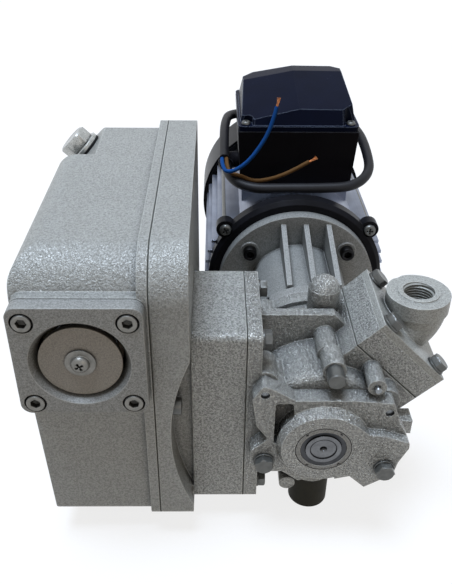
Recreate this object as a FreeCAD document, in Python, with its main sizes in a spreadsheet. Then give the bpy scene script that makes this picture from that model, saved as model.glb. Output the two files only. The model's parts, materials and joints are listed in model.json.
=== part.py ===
import FreeCAD, Part
import math
import os
import Sketcher
from types import SimpleNamespace

# Rotary vane vacuum pump with its oil separator box and electric motor.
# Frame: X to the right seen from the pump end, Y back along the shaft to the motor, Z up.
# Origin: on the floor, at the centre of the front rubber foot, under the shaft axis.

document = FreeCAD.newDocument("rotary_vacuum_pump")
sheet = document.addObject("Spreadsheet::Sheet", "Dimensions")
Vector = FreeCAD.Vector
Rotation = FreeCAD.Rotation
Placement = FreeCAD.Placement


class Size(float):
    """A number that remembers the spreadsheet expression it is worked out from."""

    def __new__(cls, number, text):
        size = super().__new__(cls, number)
        size.text = text
        return size

    def __add__(self, other):
        return Size(float(self) + float(other), "(" + self.text + " + " + text_of(other) + ")")

    def __radd__(self, other):
        return Size(float(other) + float(self), "(" + text_of(other) + " + " + self.text + ")")

    def __sub__(self, other):
        return Size(float(self) - float(other), "(" + self.text + " - " + text_of(other) + ")")

    def __rsub__(self, other):
        return Size(float(other) - float(self), "(" + text_of(other) + " - " + self.text + ")")

    def __mul__(self, other):
        return Size(float(self) * float(other), "(" + self.text + " * " + text_of(other) + ")")

    def __rmul__(self, other):
        return Size(float(other) * float(self), "(" + text_of(other) + " * " + self.text + ")")

    def __truediv__(self, other):
        return Size(float(self) / float(other), "(" + self.text + " / " + text_of(other) + ")")

    def __neg__(self):
        return Size(-float(self), "(0 - " + self.text + ")")


def text_of(number):
    """The expression of a size, or the digits of a plain number."""
    if isinstance(number, Size):
        return number.text
    return repr(round(float(number), 6))


def sizes_from(table):
    """Write each driving dimension to its own named cell and hand the sizes back by name."""
    found = {}
    for row, (alias, number) in enumerate(table.items(), start=1):
        cell = "B" + str(row)
        sheet.set("A" + str(row), alias.replace("_", " "))
        sheet.set(cell, str(number))
        sheet.setAlias(cell, alias)
        found[alias] = Size(number, "Dimensions." + alias)
    document.recompute()
    return SimpleNamespace(**found)


def bind(piece, place, size):
    """Give a property its value, tied to the sheet where the value comes from it."""
    if isinstance(size, Size):
        piece.setExpression(place, size.text)
    elif place in piece.PropertiesList:
        setattr(piece, place, float(size))
    else:
        piece.setExpression(place, repr(float(size)))


def put(piece, at):
    """Place a piece at three coordinates, each tied to the sheet."""
    for axis, size in zip("xyz", at):
        if isinstance(size, Size):
            piece.setExpression("Placement.Base." + axis, size.text)
        elif size:
            piece.setExpression("Placement.Base." + axis, repr(float(size)))
    return piece


TURN_TO_AXIS = {
    "Z": Rotation(),
    "X": Rotation(Vector(0, 1, 0), 90),
    "Y": Rotation(Vector(1, 0, 0), -90),
}


def block(label, at, length, width, height):
    """A rectangular block from its lowest corner."""
    piece = document.addObject("Part::Box", label)
    piece.Label = label
    bind(piece, "Length", length)
    bind(piece, "Width", width)
    bind(piece, "Height", height)
    return put(piece, at)


def cylinder(label, axis, at, radius, height):
    """A round bar that runs along +X, +Y or +Z from its first end."""
    piece = document.addObject("Part::Cylinder", label)
    piece.Label = label
    piece.Placement = Placement(Vector(), TURN_TO_AXIS[axis])
    bind(piece, "Radius", radius)
    bind(piece, "Height", height)
    return put(piece, at)


def cone(label, axis, at, first_radius, last_radius, height):
    """A tapered bar that runs along +X, +Y or +Z from its first end."""
    piece = document.addObject("Part::Cone", label)
    piece.Label = label
    piece.Placement = Placement(Vector(), TURN_TO_AXIS[axis])
    bind(piece, "Radius1", first_radius)
    bind(piece, "Radius2", last_radius)
    bind(piece, "Height", height)
    return put(piece, at)


def joined(label, pieces):
    """One solid from several that overlap."""
    piece = document.addObject("Part::MultiFuse", label)
    piece.Label = label
    piece.Shapes = pieces
    piece.Refine = True
    return piece


def cut(label, base, tools):
    """The base with every tool taken away from it."""
    tool = tools[0]
    if len(tools) > 1:
        tool = joined(label + "_cutters", tools)
    piece = document.addObject("Part::Cut", label)
    piece.Label = label
    piece.Base = base
    piece.Tool = tool
    piece.Refine = True
    return piece


def shared(label, pieces):
    """The space that every piece holds in common."""
    piece = document.addObject("Part::MultiCommon", label)
    piece.Label = label
    piece.Shapes = pieces
    piece.Refine = True
    return piece


PLANE_AXES = {"XY": ("X", "Y", "Z"), "XZ": ("X", "Z", "Y"), "YZ": ("Y", "Z", "X")}


def plane_of(body, plane):
    """The body's own origin plane of that name."""
    for feature in body.Origin.OriginFeatures:
        if feature.Role == plane + "_Plane":
            return feature
    raise ValueError("no plane " + plane)


def outline_sketch(body, name, plane, outline):
    """A closed outline of straight sides whose corners are tied to the sheet."""
    sketch = body.newObject("Sketcher::SketchObject", name)
    sketch.AttachmentSupport = [(plane_of(body, plane), "")]
    sketch.MapMode = "FlatFace"
    corners = [Vector(float(across), float(up), 0) for across, up in outline]
    count = len(corners)
    for index in range(count):
        side = Part.LineSegment(corners[index], corners[(index + 1) % count])
        sketch.addGeometry(side, False)
    for index in range(count):
        following = (index + 1) % count
        sketch.addConstraint(Sketcher.Constraint("Coincident", index, 2, following, 1))
    for index, corner in enumerate(outline):
        for kind, size in zip(("DistanceX", "DistanceY"), corner):
            constraint = Sketcher.Constraint(kind, -1, 1, index, 1, float(size))
            number = sketch.addConstraint(constraint)
            if isinstance(size, Size):
                sketch.setExpression("Constraints[" + str(number) + "]", size.text)
    return sketch


def prism(label, plane, outline, start, end, at=(0, 0, 0), rounded=()):
    """An outline drawn on a plane and padded between two places on the third axis.

    rounded holds pairs: the numbers of the corners to round, and their radius.
    """
    body = document.addObject("PartDesign::Body", label)
    body.Label = label
    sketch = outline_sketch(body, label + "_outline", plane, outline)
    sign = -1.0 if plane == "XZ" else 1.0
    offset = -start if plane == "XZ" else start
    bind(sketch, "AttachmentOffset.Base.z", offset)
    padded = body.newObject("PartDesign::Pad", label + "_pad")
    padded.Profile = sketch
    padded.Reversed = sign < 0
    bind(padded, "Length", end - start)
    body.Tip = padded
    if rounded:
        document.recompute()
    for number, (corners, radius) in enumerate(rounded):
        tip = body.Tip
        picked = [outline[corner] for corner in corners]
        names = corner_edges(tip.Shape, plane, picked)
        fillet = body.newObject("PartDesign::Fillet", label + "_round" + str(number))
        fillet.Base = (tip, names)
        bind(fillet, "Radius", radius)
        body.Tip = fillet
        document.recompute()
    return put(body, at)


def corner_edges(shape, plane, corners):
    """The straight edges across a plane that stand on the given corners."""
    first, second, third = PLANE_AXES[plane]
    names = []
    for number, edge in enumerate(shape.Edges, start=1):
        if edge.Curve.TypeId != "Part::GeomLine":
            continue
        ends = [vertex.Point for vertex in edge.Vertexes]
        run = ends[-1] - ends[0]
        if abs(getattr(run, third.lower())) < 0.999 * run.Length:
            continue
        for across, up in corners:
            gap_across = getattr(ends[0], first.lower()) - float(across)
            gap_up = getattr(ends[0], second.lower()) - float(up)
            if math.hypot(gap_across, gap_up) < 0.01:
                names.append("Edge" + str(number))
    if not names:
        raise ValueError("no corner edges found")
    return names


def turned(label, axis, profile, at=(0, 0, 0)):
    """A closed profile of (radius, place along the axis) turned about that axis."""
    body = document.addObject("PartDesign::Body", label)
    body.Label = label
    if axis == "X":
        drawn = [(along, radius) for radius, along in profile]
        sketch = outline_sketch(body, label + "_profile", "XY", drawn)
        reference = "H_Axis"
    else:
        plane = "XY" if axis == "Y" else "XZ"
        sketch = outline_sketch(body, label + "_profile", plane, profile)
        reference = "V_Axis"
    revolved = body.newObject("PartDesign::Revolution", label + "_turned")
    revolved.Profile = sketch
    revolved.ReferenceAxis = (sketch, [reference])
    revolved.Angle = 360
    body.Tip = revolved
    return put(body, at)


def bar(radius_outer, start, end, radius_inner=0):
    """The profile of a plain bar or ring between two places along its axis."""
    return [(radius_inner, start), (radius_outer, start), (radius_outer, end), (radius_inner, end)]


def formed(label, shape, at=None):
    """A piece whose shape comes from Part's own functions, then its place."""
    piece = document.addObject("Part::Feature", label)
    piece.Label = label
    piece.Shape = shape
    if at is not None:
        piece.Placement = at
    return piece


def gathered(label, groups):
    """A group of separate solids: copies of each piece at each of its places."""
    document.recompute()
    copies = []
    for piece, places in groups:
        for place in places:
            copy = piece.Shape.copy()
            copy.Placement = place.multiply(piece.Shape.Placement)
            copies.append(copy)
    return formed(label, Part.makeCompound(copies))


def repeated(label, piece, places):
    """A group of separate solids: one copy of a piece at each place."""
    return gathered(label, [(piece, places)])


def moved(x, y, z, rotation=None):
    """A placement from three coordinates and a turn."""
    return Placement(Vector(float(x), float(y), float(z)), rotation or Rotation())


DRIVING = {
    # Heights above the floor and places along the shaft.
    "shaft_height": 78.0,
    "hub_face_reach": 37.0,
    "seat_gap": 0.3,
    "joint_gap": 0.05,
    # Exhaust box, on the left.
    "box_cover_right": -74.5,
    "cover_depth": 19.5,
    "gasket_thickness": 0.8,
    "flange_thickness": 5.3,
    "box_depth": 64.5,
    "box_bottom": 18.5,
    "box_height": 177.5,
    "box_front": -31.0,
    "box_length": 191.0,
    "flange_proud": 4.0,
    "box_wall": 5.0,
    "box_top_round": 26.0,
    "box_corner_round": 7.0,
    "box_draft": 6.5,
    "box_side_round": 14.0,
    "notch_length": 54.0,
    "notch_drop": 27.0,
    "notch_depth": 26.0,
    "scoop_radius": 137.0,
    "scoop_depth": 11.5,
    "scoop_length": 17.0,
    "box_screw_inset": 9.0,
    "corner_screw_inset": 16.0,
    # Exhaust plate on the front of the box.
    "plate_size": 67.0,
    "plate_over_flange": 4.0,
    "plate_thickness": 8.0,
    "plate_corner_round": 6.0,
    "plate_height": 127.6,
    "plate_pattern_drop": 1.1,
    "plate_screw_spacing": 51.4,
    "exhaust_mouth_radius": 26.0,
    "exhaust_throat_radius": 22.5,
    "mouth_depth": 6.5,
    "disc_radius": 21.4,
    "disc_thickness": 3.0,
    "disc_recess": 2.5,
    # Oil mist filter inside the box.
    "filter_radius": 24.0,
    "filter_bore_radius": 15.0,
    "filter_length": 120.0,
    "filter_seat_depth": 8.0,
    "spring_room": 12.0,
    # Plugs, sight glass and where they stand on the box.
    "filler_radius": 10.5,
    "filler_inset": 15.0,
    "drain_radius": 7.0,
    "drain_height": 20.0,
    "glass_radius": 11.0,
    "glass_height": 62.0,
    # M6 screws and bolts.
    "screw_radius": 3.0,
    "screw_hole_radius": 3.3,
    "cap_head_radius": 5.0,
    "cap_head_height": 6.0,
    "cap_socket_radius": 2.5,
    "cap_socket_depth": 3.0,
    "hex_head_flats": 10.0,
    "hex_head_height": 4.2,
    "washer_radius": 6.0,
    "washer_thickness": 1.4,
    "bolt_engagement": 12.0,
    # Transfer block between the box and the pump.
    "block_width": 30.0,
    "block_front": -21.0,
    "block_length": 69.0,
    "block_bottom": 19.5,
    "block_height": 126.5,
    "block_channel_radius": 11.0,
    # Pump cylinder casting.
    "casting_flange": 8.0,
    "cylinder_radius": 41.0,
    "barrel_rim": 5.0,
    "chamber_radius": 31.0,
    "cylinder_front": -21.0,
    "cylinder_length": 70.0,
    "end_cover_thickness": 10.0,
    "hub_radius": 24.0,
    "rotor_radius": 27.0,
    "rotor_offset": 3.8,
    "vane_thickness": 4.0,
    "vane_height": 15.0,
    "end_play": 0.1,
    "shaft_radius": 7.5,
    "bearing_radius": 16.0,
    "bearing_width": 9.0,
    "bearing_inner_radius": 10.2,
    "bearing_outer_bore": 13.2,
    "ball_radius": 2.3,
    "foot_radius": 12.5,
    "foot_height": 26.0,
    # Inlet, on a pad at 45 degrees on the upper right.
    "inlet_angle": 45.0,
    "pad_face_reach": 50.0,
    "pad_width": 55.0,
    "pad_front": -10.0,
    "pad_length": 58.0,
    "inlet_body_thickness": 15.5,
    "inlet_flange_thickness": 4.0,
    "inlet_bolt_spacing": 42.0,
    "inlet_bolt_pitch": 45.0,
    "inlet_head_radius": 18.6,
    "inlet_head_height": 10.0,
    "inlet_top": 147.0,
    "inlet_across": 57.0,
    "inlet_along": 21.0,
    "inlet_bore_radius": 9.3,
    "inlet_neck_radius": 16.5,
    "screen_thickness": 1.6,
    "valve_plate_radius": 13.0,
    "valve_plate_thickness": 1.6,
    # Bell housing between pump and motor.
    "bell_rear": 143.0,
    "bell_flange_thickness": 9.0,
    "bell_radius": 59.0,
    "bell_neck_radius": 36.0,
    "bell_front_radius": 44.0,
    "bell_front_thickness": 7.0,
    "bell_wall": 4.5,
    "bell_screw_ring": 47.5,
    "bell_screw_angle": 40.7,
    "bell_rib_thickness": 3.6,
    "bell_rib_spacing": 16.5,
    "bell_rib_shift": 4.5,
    # Motor.
    "shield_radius": 67.0,
    "shield_thickness": 12.0,
    "stator_radius": 63.0,
    "stator_bore_radius": 56.0,
    "fin_height": 7.0,
    "fin_thickness": 2.2,
    "fin_pitch": 9.0,
    "stator_length": 122.0,
    "core_bore_radius": 33.0,
    "air_gap": 0.5,
    "motor_rotor_length": 76.0,
    "motor_shaft_radius": 9.5,
    "motor_bearing_width": 11.0,
    "motor_seat_radius": 17.5,
    "rear_shield_thickness": 13.0,
    "cowl_radius": 73.0,
    "cowl_wall": 1.6,
    "cowl_length": 56.0,
    "fan_radius": 58.0,
    "tie_rod_radius": 2.5,
    "tie_rod_ring": 68.5,
    "motor_foot_spread": 46.0,
    "motor_foot_height": 20.0,
    # Terminal box on the motor.
    "terminal_width": 90.0,
    "terminal_front": 179.0,
    "terminal_length": 88.0,
    "terminal_base": 141.0,
    "terminal_height": 43.0,
    "terminal_wall": 3.0,
    "terminal_taper": 2.5,
    "lid_wall": 2.5,
    "gland_radius": 6.5,
    "gland_bend": 7.5,
    "gland_reach": 53.0,
    "gland_setback": 29.5,
    "gland_rise": 9.0,
    "gland_length": 10.5,
    "lid_height": 27.0,
    "lid_crown": 7.0,
    "lid_front_drop": 13.0,
    "lid_side_drop": 9.0,
    # Supply cable.
    "sheath_radius": 3.8,
    "core_radius": 1.5,
}
d = sizes_from(DRIVING)


# Places that several pieces share.
shaft_z = d.shaft_height
cover_left = d.box_cover_right - d.cover_depth
flange_right = cover_left - d.gasket_thickness
flange_left = flange_right - d.flange_thickness
box_left = flange_left - d.box_depth
box_top = d.box_bottom + d.box_height
box_rear = d.box_front + d.box_length
flange_top = box_top + d.flange_proud
flange_front = d.box_front - d.flange_proud
flange_rear = box_rear + d.flange_proud
flange_bottom = d.box_bottom
plate_x = flange_left + d.plate_over_flange - d.plate_size / 2
plate_z = d.box_bottom + d.plate_height
mouth_z = plate_z - d.plate_pattern_drop
plate_pad_front = flange_front
plate_rear = plate_pad_front - d.gasket_thickness
plate_front = plate_rear - d.plate_thickness
inner_left = box_left + d.box_wall
inner_front = d.box_front + d.box_wall
inner_rear = box_rear - d.box_wall
inner_bottom = d.box_bottom + d.box_wall
inner_top = box_top - d.box_wall
# The filter stands behind the disc and its spring; the float hangs beside it.
filter_front = plate_front + d.disc_recess + d.disc_thickness + d.spring_room
filter_seat_start = filter_front + d.filter_length - d.filter_seat_depth
# The filler plug stands square to the slope cut from the box's rear corner.
filler_y = box_rear - d.filler_inset
notch_slope = d.notch_drop / d.notch_depth
drain_x = box_left + d.box_depth / 2
drain_z = d.box_bottom + d.drain_height
glass_z = d.box_bottom + d.glass_height
float_pivot = (drain_x - 4, d.box_front + 60, d.box_bottom + 44)
box_foot_places = [(drain_x, d.box_front + 60), (drain_x, box_rear - 30)]


def box_screw_places():
    """Eight screws round the rim of the box, clear of the scoop."""
    inset = d.box_screw_inset
    low = flange_bottom + inset
    high = flange_top - inset
    front = flange_front + inset
    rear = flange_rear - inset
    middle = (front + rear) / 2
    waist = (low + high) / 2
    corner = (flange_front + d.corner_screw_inset, flange_top - d.corner_screw_inset)
    return [corner, (middle, high), (rear, high), (rear, waist), (rear, low),
            (middle, low), (front, low), (front, waist - 8)]


def cutters(label, axis, places, start, length, radius):
    """Round holes along one axis at a list of places across it."""
    tools = []
    for number, (first, second) in enumerate(places):
        name = label + "_hole" + str(number)
        at = {"X": (start, first, second), "Y": (first, start, second), "Z": (first, second, start)}
        tools.append(cylinder(name, axis, at[axis], radius, length))
    return tools


def exhaust_box():
    """The cast box: body, open flange on the right, plate pad and filler corner."""
    body = prism("box_body", "YZ",
                 [(d.box_front, d.box_bottom), (box_rear, d.box_bottom), (box_rear, box_top),
                  (d.box_front, box_top)],
                 box_left, flange_left + 1,
                 rounded=(((3,), d.box_top_round), ((0, 1, 2), d.box_corner_round)))
    section = prism("box_section", "XZ",
                    [(box_left + d.box_draft, d.box_bottom), (flange_left + 2, d.box_bottom),
                     (flange_left + 2, box_top), (box_left, box_top)],
                    d.box_front - 1, box_rear + 1,
                    rounded=(((0,), 5.0), ((3,), d.box_side_round)))
    body = shared("box_drafted", [body, section])
    rim = prism("box_rim", "YZ",
                [(flange_front, flange_bottom), (flange_rear, flange_bottom),
                 (flange_rear, flange_top), (flange_front, flange_top)],
                flange_left, flange_right,
                rounded=(((3,), d.box_top_round), ((0, 1, 2), d.box_corner_round)))
    half = d.plate_size / 2
    pad = prism("box_pad", "XZ",
                [(plate_x - half, plate_z - half), (plate_x + half, plate_z - half),
                 (plate_x + half, plate_z + half), (plate_x - half, plate_z + half)],
                plate_pad_front, inner_front,
                rounded=(((0, 1, 2, 3), d.plate_corner_round),))
    whole = joined("box_solid", [body, rim, pad])
    inside = prism("box_inside", "YZ",
                   [(inner_front, inner_bottom), (inner_rear, inner_bottom),
                    (inner_rear, inner_top), (inner_front, inner_top)],
                   inner_left, flange_right + 1,
                   rounded=(((3,), d.box_top_round - d.box_wall),))
    notch = prism("box_notch", "XZ",
                  [(box_left - 2, box_top + 2 * notch_slope),
                   (box_left - 2, box_top - d.notch_drop - 2 * notch_slope),
                   (box_left + d.notch_depth + 2, box_top + 2 * notch_slope)],
                  box_rear - d.notch_length, box_rear + 1)
    seat_x = box_left + d.notch_depth / 2
    seat_z = box_top - d.notch_drop / 2
    slope = prism("box_slope", "XZ",
                  [(inner_left - 0.5, box_top - 1), (inner_left - 0.5, box_top - d.notch_drop - 6),
                   (box_left + d.notch_depth + 8, box_top - 1)],
                  box_rear - d.notch_length - d.box_wall, box_rear - 1)
    lean = prism("box_inside_lean", "XZ",
                 [(inner_left + d.box_draft, inner_bottom - 1), (flange_right + 2, inner_bottom - 1),
                  (flange_right + 2, inner_top + 1), (inner_left, inner_top + 1)],
                 inner_front - 1, inner_rear + 1,
                 rounded=(((3,), d.box_side_round - d.box_wall),))
    hollow = cut("box_hollow", shared("box_room", [inside, lean]), [slope])
    mouth = cylinder("box_mouth", "Y", (plate_x, plate_pad_front - 1, mouth_z),
                     d.exhaust_throat_radius + 1.5, d.flange_proud + d.box_wall + 3)
    spread = d.plate_screw_spacing / 2
    screw_places = [(plate_x + side * spread, mouth_z + up * spread)
                    for side in (-1, 1) for up in (-1, 1)]
    plate_holes = cutters("plate_tap", "Y", screw_places, plate_pad_front - 1,
                          d.bolt_engagement + 1, d.screw_radius)
    bosses = cutters("plate_boss", "Y", screw_places, d.box_front + 1,
                     d.bolt_engagement + 1, d.screw_radius + 3)
    rim_holes = cutters("box_rim", "X", box_screw_places(), flange_left - 8,
                        d.flange_thickness + 9, d.screw_radius)
    rim_bosses = cutters("rim_boss", "X", box_screw_places(), flange_left - 9,
                         d.flange_thickness + 9, d.screw_radius + 2.8)
    outer = cut("box_outer", whole, [notch])
    shell = cut("box_shell", outer, [hollow])
    filter_tube = cylinder("filter_tube", "Y", (plate_x, filter_seat_start, mouth_z),
                           d.filter_bore_radius - 0.3, inner_rear - filter_seat_start + 1)
    filter_tube_bore = cylinder("filter_tube_bore", "Y", (plate_x, filter_seat_start - 1, mouth_z),
                                d.filter_bore_radius - 3, inner_rear - filter_seat_start)
    x, y, z = float_pivot
    post = [block("float_post", (x - 4, y - 4, inner_bottom - 1), 8, 8, z - inner_bottom - 4),
            block("float_ear_a", (x - 4, y - 4, z - 6), 2.6, 8, 10),
            block("float_ear_b", (x + 1.4, y - 4, z - 6), 2.6, 8, 10),
            cylinder("float_pin", "X", (x - 3, y, z), 1.2, 6)]
    hidden_bosses = shared("rim_bosses_inside", [joined("rim_bosses", rim_bosses), whole])
    ribbed = joined("box_with_bosses", [shell, filter_tube, hidden_bosses] + bosses + post)
    turn = Rotation(Vector(0, 1, 0), -math.degrees(math.atan2(float(d.notch_drop),
                                                               float(d.notch_depth))))
    filler_bore = cylinder("filler_bore", "Z", (seat_x, filler_y, seat_z), d.filler_radius, 40)
    filler_bore.Placement.Rotation = turn
    put(filler_bore, Vector(seat_x, filler_y, seat_z) - turn.multVec(Vector(0, 0, 20)))
    drain = cylinder("drain_bore", "Y", (drain_x, box_rear - d.box_wall - 1, drain_z),
                     d.drain_radius, d.box_wall + 3)
    glass = cylinder("glass_bore", "Y", (drain_x, box_rear - d.box_wall - 1, glass_z),
                     d.glass_radius, d.box_wall + 3)
    feet = cutters("box_foot_tap", "Z", box_foot_places, d.box_bottom - 1, 11, d.screw_radius)
    foot_bosses = cutters("box_foot_boss", "Z", box_foot_places, d.box_bottom, 14,
                          d.screw_radius + 4)
    solid = joined("box_with_feet", [ribbed] + foot_bosses)
    return cut("exhaust_box", solid, [filter_tube_bore, mouth, filler_bore, drain, glass] + plate_holes
               + rim_holes + feet)


def rim_outline(front, rear, low, high):
    """The four corners of a rim sheet."""
    return [(front, low), (rear, low), (rear, high), (front, high)]


def box_gasket():
    """The thin sheet between the box and its cover."""
    outer = prism("gasket_outer", "YZ",
                  rim_outline(flange_front, flange_rear, flange_bottom, flange_top),
                  flange_right, cover_left,
                  rounded=(((3,), d.box_top_round), ((0, 1, 2), d.box_corner_round)))
    width = d.box_screw_inset + 5
    opening = prism("gasket_opening", "YZ",
                    rim_outline(flange_front + width, flange_rear - width,
                                flange_bottom + width, flange_top - width),
                    flange_right - 1, cover_left + 1,
                    rounded=(((3,), d.corner_screw_inset + 2),))
    holes = cutters("gasket", "X", box_screw_places(), flange_right - 1, 3, d.screw_hole_radius)
    return cut("box_gasket", outer, [opening] + holes)


def scoop(label, extra):
    """The round hollow in the front right corner of the cover."""
    centre_x = d.box_cover_right - d.scoop_depth + d.scoop_radius
    return cylinder(label, "Y", (centre_x, flange_front - 1, shaft_z + 6.6),
                    d.scoop_radius + extra, d.scoop_length + 1)


def box_cover():
    """The deep lid on the right of the box."""
    outer = prism("cover_outer", "YZ",
                  rim_outline(flange_front, flange_rear, flange_bottom, flange_top),
                  cover_left, d.box_cover_right,
                  rounded=(((3,), d.box_top_round), ((0, 1, 2), d.box_corner_round)))
    width = d.box_screw_inset + 5
    hollow = prism("cover_hollow", "YZ",
                   rim_outline(flange_front + width + 6, flange_rear - width,
                               flange_bottom + width, flange_top - width),
                   cover_left - 1, d.box_cover_right - d.box_wall,
                   rounded=(((3,), d.corner_screw_inset + 4), ((0, 1, 2), d.box_corner_round)))
    holes = cutters("cover", "X", box_screw_places(), cover_left - 1, d.cover_depth + 2,
                    d.screw_hole_radius)
    sinks = cutters("cover_sink", "X", box_screw_places(), cover_left + 8, d.cover_depth,
                    d.cap_head_radius + 0.5)
    ports = []
    for number, height in enumerate(channel_heights):
        ports.append(cylinder("cover_port" + str(number), "X",
                              (d.box_cover_right - d.box_wall - 1, block_middle_y, height),
                              d.block_channel_radius, d.box_wall + 3))
    return cut("box_cover", outer, [hollow, scoop("cover_scoop", 0)] + holes + sinks + ports)


def cap_screw(label, axis, at, length):
    """A socket head cap screw whose shank runs along the axis from under its head."""
    profile = [(0, -d.cap_head_height + d.cap_socket_depth),
               (d.cap_socket_radius, -d.cap_head_height + d.cap_socket_depth),
               (d.cap_socket_radius, -d.cap_head_height),
               (d.cap_head_radius, -d.cap_head_height), (d.cap_head_radius, 0),
               (d.screw_radius - d.joint_gap, 0), (d.screw_radius - d.joint_gap, length),
               (0, length)]
    return turned(label, axis, profile, at)


def box_cover_screws():
    """Eight cap screws through the cover into the box."""
    screw = cap_screw("cover_screw", "X", (0, 0, 0), 8 + d.gasket_thickness + d.flange_thickness)
    screw.Placement.Rotation = Rotation(Vector(0, 0, 1), 180)
    places = [moved(cover_left + 8, along, up) for along, up in box_screw_places()]
    return repeated("box_cover_screws", screw, places)


# Transfer block, pump cylinder and their shared places.
block_left = d.box_cover_right
block_right = block_left + d.block_width
casting_left = block_right + d.gasket_thickness
casting_right = casting_left + d.casting_flange
block_rear = d.block_front + d.block_length
block_top = d.block_bottom + d.block_height
block_middle_y = d.block_front + d.block_length / 2
channel_heights = [d.block_bottom + 32, d.block_bottom + 92]
reed_height = 34.0
reed_low = channel_heights[1] - 14
cylinder_rear = d.cylinder_front + d.cylinder_length
cover_front = d.cylinder_front - d.end_cover_thickness
hub_face = -d.hub_face_reach
rear_cover_rear = cylinder_rear + d.end_cover_thickness
chamber_z = shaft_z - d.rotor_offset
pump_bearing_fronts = [hub_face, rear_cover_rear - d.bearing_width]
oil_boss_x = 4.5
oil_boss_z = shaft_z + 44
pin_boss_x = 27.6
pin_boss_z = shaft_z + 38
oil_nose_front = -21.3
# Cover bolts and dowels, from the shaft axis: across, up.
front_bolt_places = [(-33.0, -15.0), (36.0, -14.5)]
dowel_places = [(-34.0, 35.0), (36.0, 22.0)]
rear_bolt_places = [(-29.0, 30.0), (29.0, 30.0), (34.0, -28.0), (-28.0, -35.0)]


def block_screw_places():
    """Four bolts near the corners of the block: along Y and up."""
    inset = 9
    return [(along, up) for along in (d.block_front + inset, block_rear - inset)
            for up in (d.block_bottom + inset, block_top - inset)]


def transfer_block():
    """The cast block that leads the exhaust from the pump to the box."""
    outer = prism("block_outer", "YZ",
                  rim_outline(d.block_front, block_rear, d.block_bottom, block_top),
                  block_left, block_right, rounded=(((0, 1, 2, 3), 4.0),))
    tools = cutters("block_tap", "X", block_screw_places(), block_right - d.bolt_engagement,
                    d.bolt_engagement + 1, d.screw_radius)
    places = [(block_middle_y, height) for height in channel_heights]
    tools += cutters("block_channel", "X", places, block_left - 1, d.block_width + 2,
                     d.block_channel_radius)
    tools.append(block("block_reed_pocket", (block_right - 7, block_middle_y - 14, reed_low - 2),
                       8, 28, reed_height + 4))
    return cut("transfer_block", outer, tools)


def block_gasket():
    """The sheet between the block and the pump flange."""
    outer = prism("block_gasket_sheet", "YZ",
                  rim_outline(d.block_front, block_rear, d.block_bottom, block_top),
                  block_right, casting_left, rounded=(((0, 1, 2, 3), 4.0),))
    tools = cutters("block_gasket", "X", block_screw_places(), block_right - 1, 3,
                    d.screw_hole_radius)
    places = [(block_middle_y, height) for height in channel_heights]
    tools += cutters("block_gasket_port", "X", places, block_right - 1, 3,
                     d.block_channel_radius)
    tools.append(block("gasket_reed_room", (block_right - 1, block_middle_y - 14, reed_low - 2),
                       3, 28, reed_height + 4))
    return cut("block_gasket", outer, tools)


def hex_bolt(label, length, washer=True):
    """A hex head bolt with its washer; the shank runs along +X from the washer's seat."""
    under_head = -d.washer_thickness if washer else 0
    shank = cylinder(label + "_shank", "X", (under_head, 0, 0), d.screw_radius - d.joint_gap,
                     length - under_head)
    head = document.addObject("Part::Prism", label + "_head")
    head.Polygon = 6
    head.Placement = Placement(Vector(), TURN_TO_AXIS["X"])
    bind(head, "Circumradius", d.hex_head_flats / math.sqrt(3))
    bind(head, "Height", d.hex_head_height)
    put(head, (under_head - d.hex_head_height, 0, 0))
    pieces = [shank, head]
    if washer:
        pieces.append(cylinder(label + "_washer", "X", (under_head, 0, 0), d.washer_radius,
                               d.washer_thickness))
    return joined(label, pieces)


TURN_X_TO = {
    "-X": Rotation(Vector(0, 0, 1), 180),
    "Y": Rotation(Vector(0, 0, 1), 90),
    "-Y": Rotation(Vector(0, 0, 1), -90),
    "Z": Rotation(Vector(0, 1, 0), -90),
}


def casting_bolts():
    """The hex bolts of the pump flange and of both end covers, one solid each."""
    side = hex_bolt("block_bolt", d.casting_flange + d.gasket_thickness + d.bolt_engagement - 2)
    front = hex_bolt("front_bolt", d.end_cover_thickness + d.bolt_engagement)
    arm = hex_bolt("arm_bolt", cover_front - hub_face + d.end_cover_thickness + d.bolt_engagement)
    rear = hex_bolt("rear_bolt", d.end_cover_thickness + d.bolt_engagement - 1, False)
    side_places = [moved(casting_right, along, up, TURN_X_TO["-X"])
                   for along, up in block_screw_places()]
    front_places = [moved(across, seat, shaft_z + up, TURN_X_TO["Y"])
                    for (across, up), seat in zip(front_bolt_places, (cover_front, hub_face))]
    rear_places = [moved(across, rear_cover_rear, shaft_z + up, TURN_X_TO["-Y"])
                   for across, up in rear_bolt_places]
    return gathered("casting_bolts", [(side, side_places), (front, front_places[:1]),
                                      (arm, front_places[1:]), (rear, rear_places)])


def tilted(label, across, along, out, length, width, height):
    """A block in the inlet's own tilted frame: across, along the shaft, out from the axis."""
    turn = Rotation(Vector(0, 1, 0), float(d.inlet_angle))
    piece = document.addObject("Part::Box", label)
    bind(piece, "Length", length)
    bind(piece, "Width", width)
    bind(piece, "Height", height)
    corner = turn.multVec(Vector(float(across), float(along), float(out)))
    piece.Placement = Placement(corner + Vector(0, 0, float(shaft_z)), turn)
    return piece


def tilted_bar(label, across, along, out, radius, height):
    """A round bar that stands out from the axis in the inlet's tilted frame."""
    turn = Rotation(Vector(0, 1, 0), float(d.inlet_angle))
    piece = document.addObject("Part::Cylinder", label)
    bind(piece, "Radius", radius)
    bind(piece, "Height", height)
    foot = turn.multVec(Vector(float(across), float(along), float(out)))
    piece.Placement = Placement(foot + Vector(0, 0, float(shaft_z)), turn)
    return piece


pad_across = -25.5
inlet_along = d.pad_front + d.pad_length / 2
pad_middle = pad_across + d.pad_width / 2
inlet_body_out = d.pad_face_reach + d.gasket_thickness
inlet_face = inlet_body_out + d.inlet_body_thickness


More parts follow.
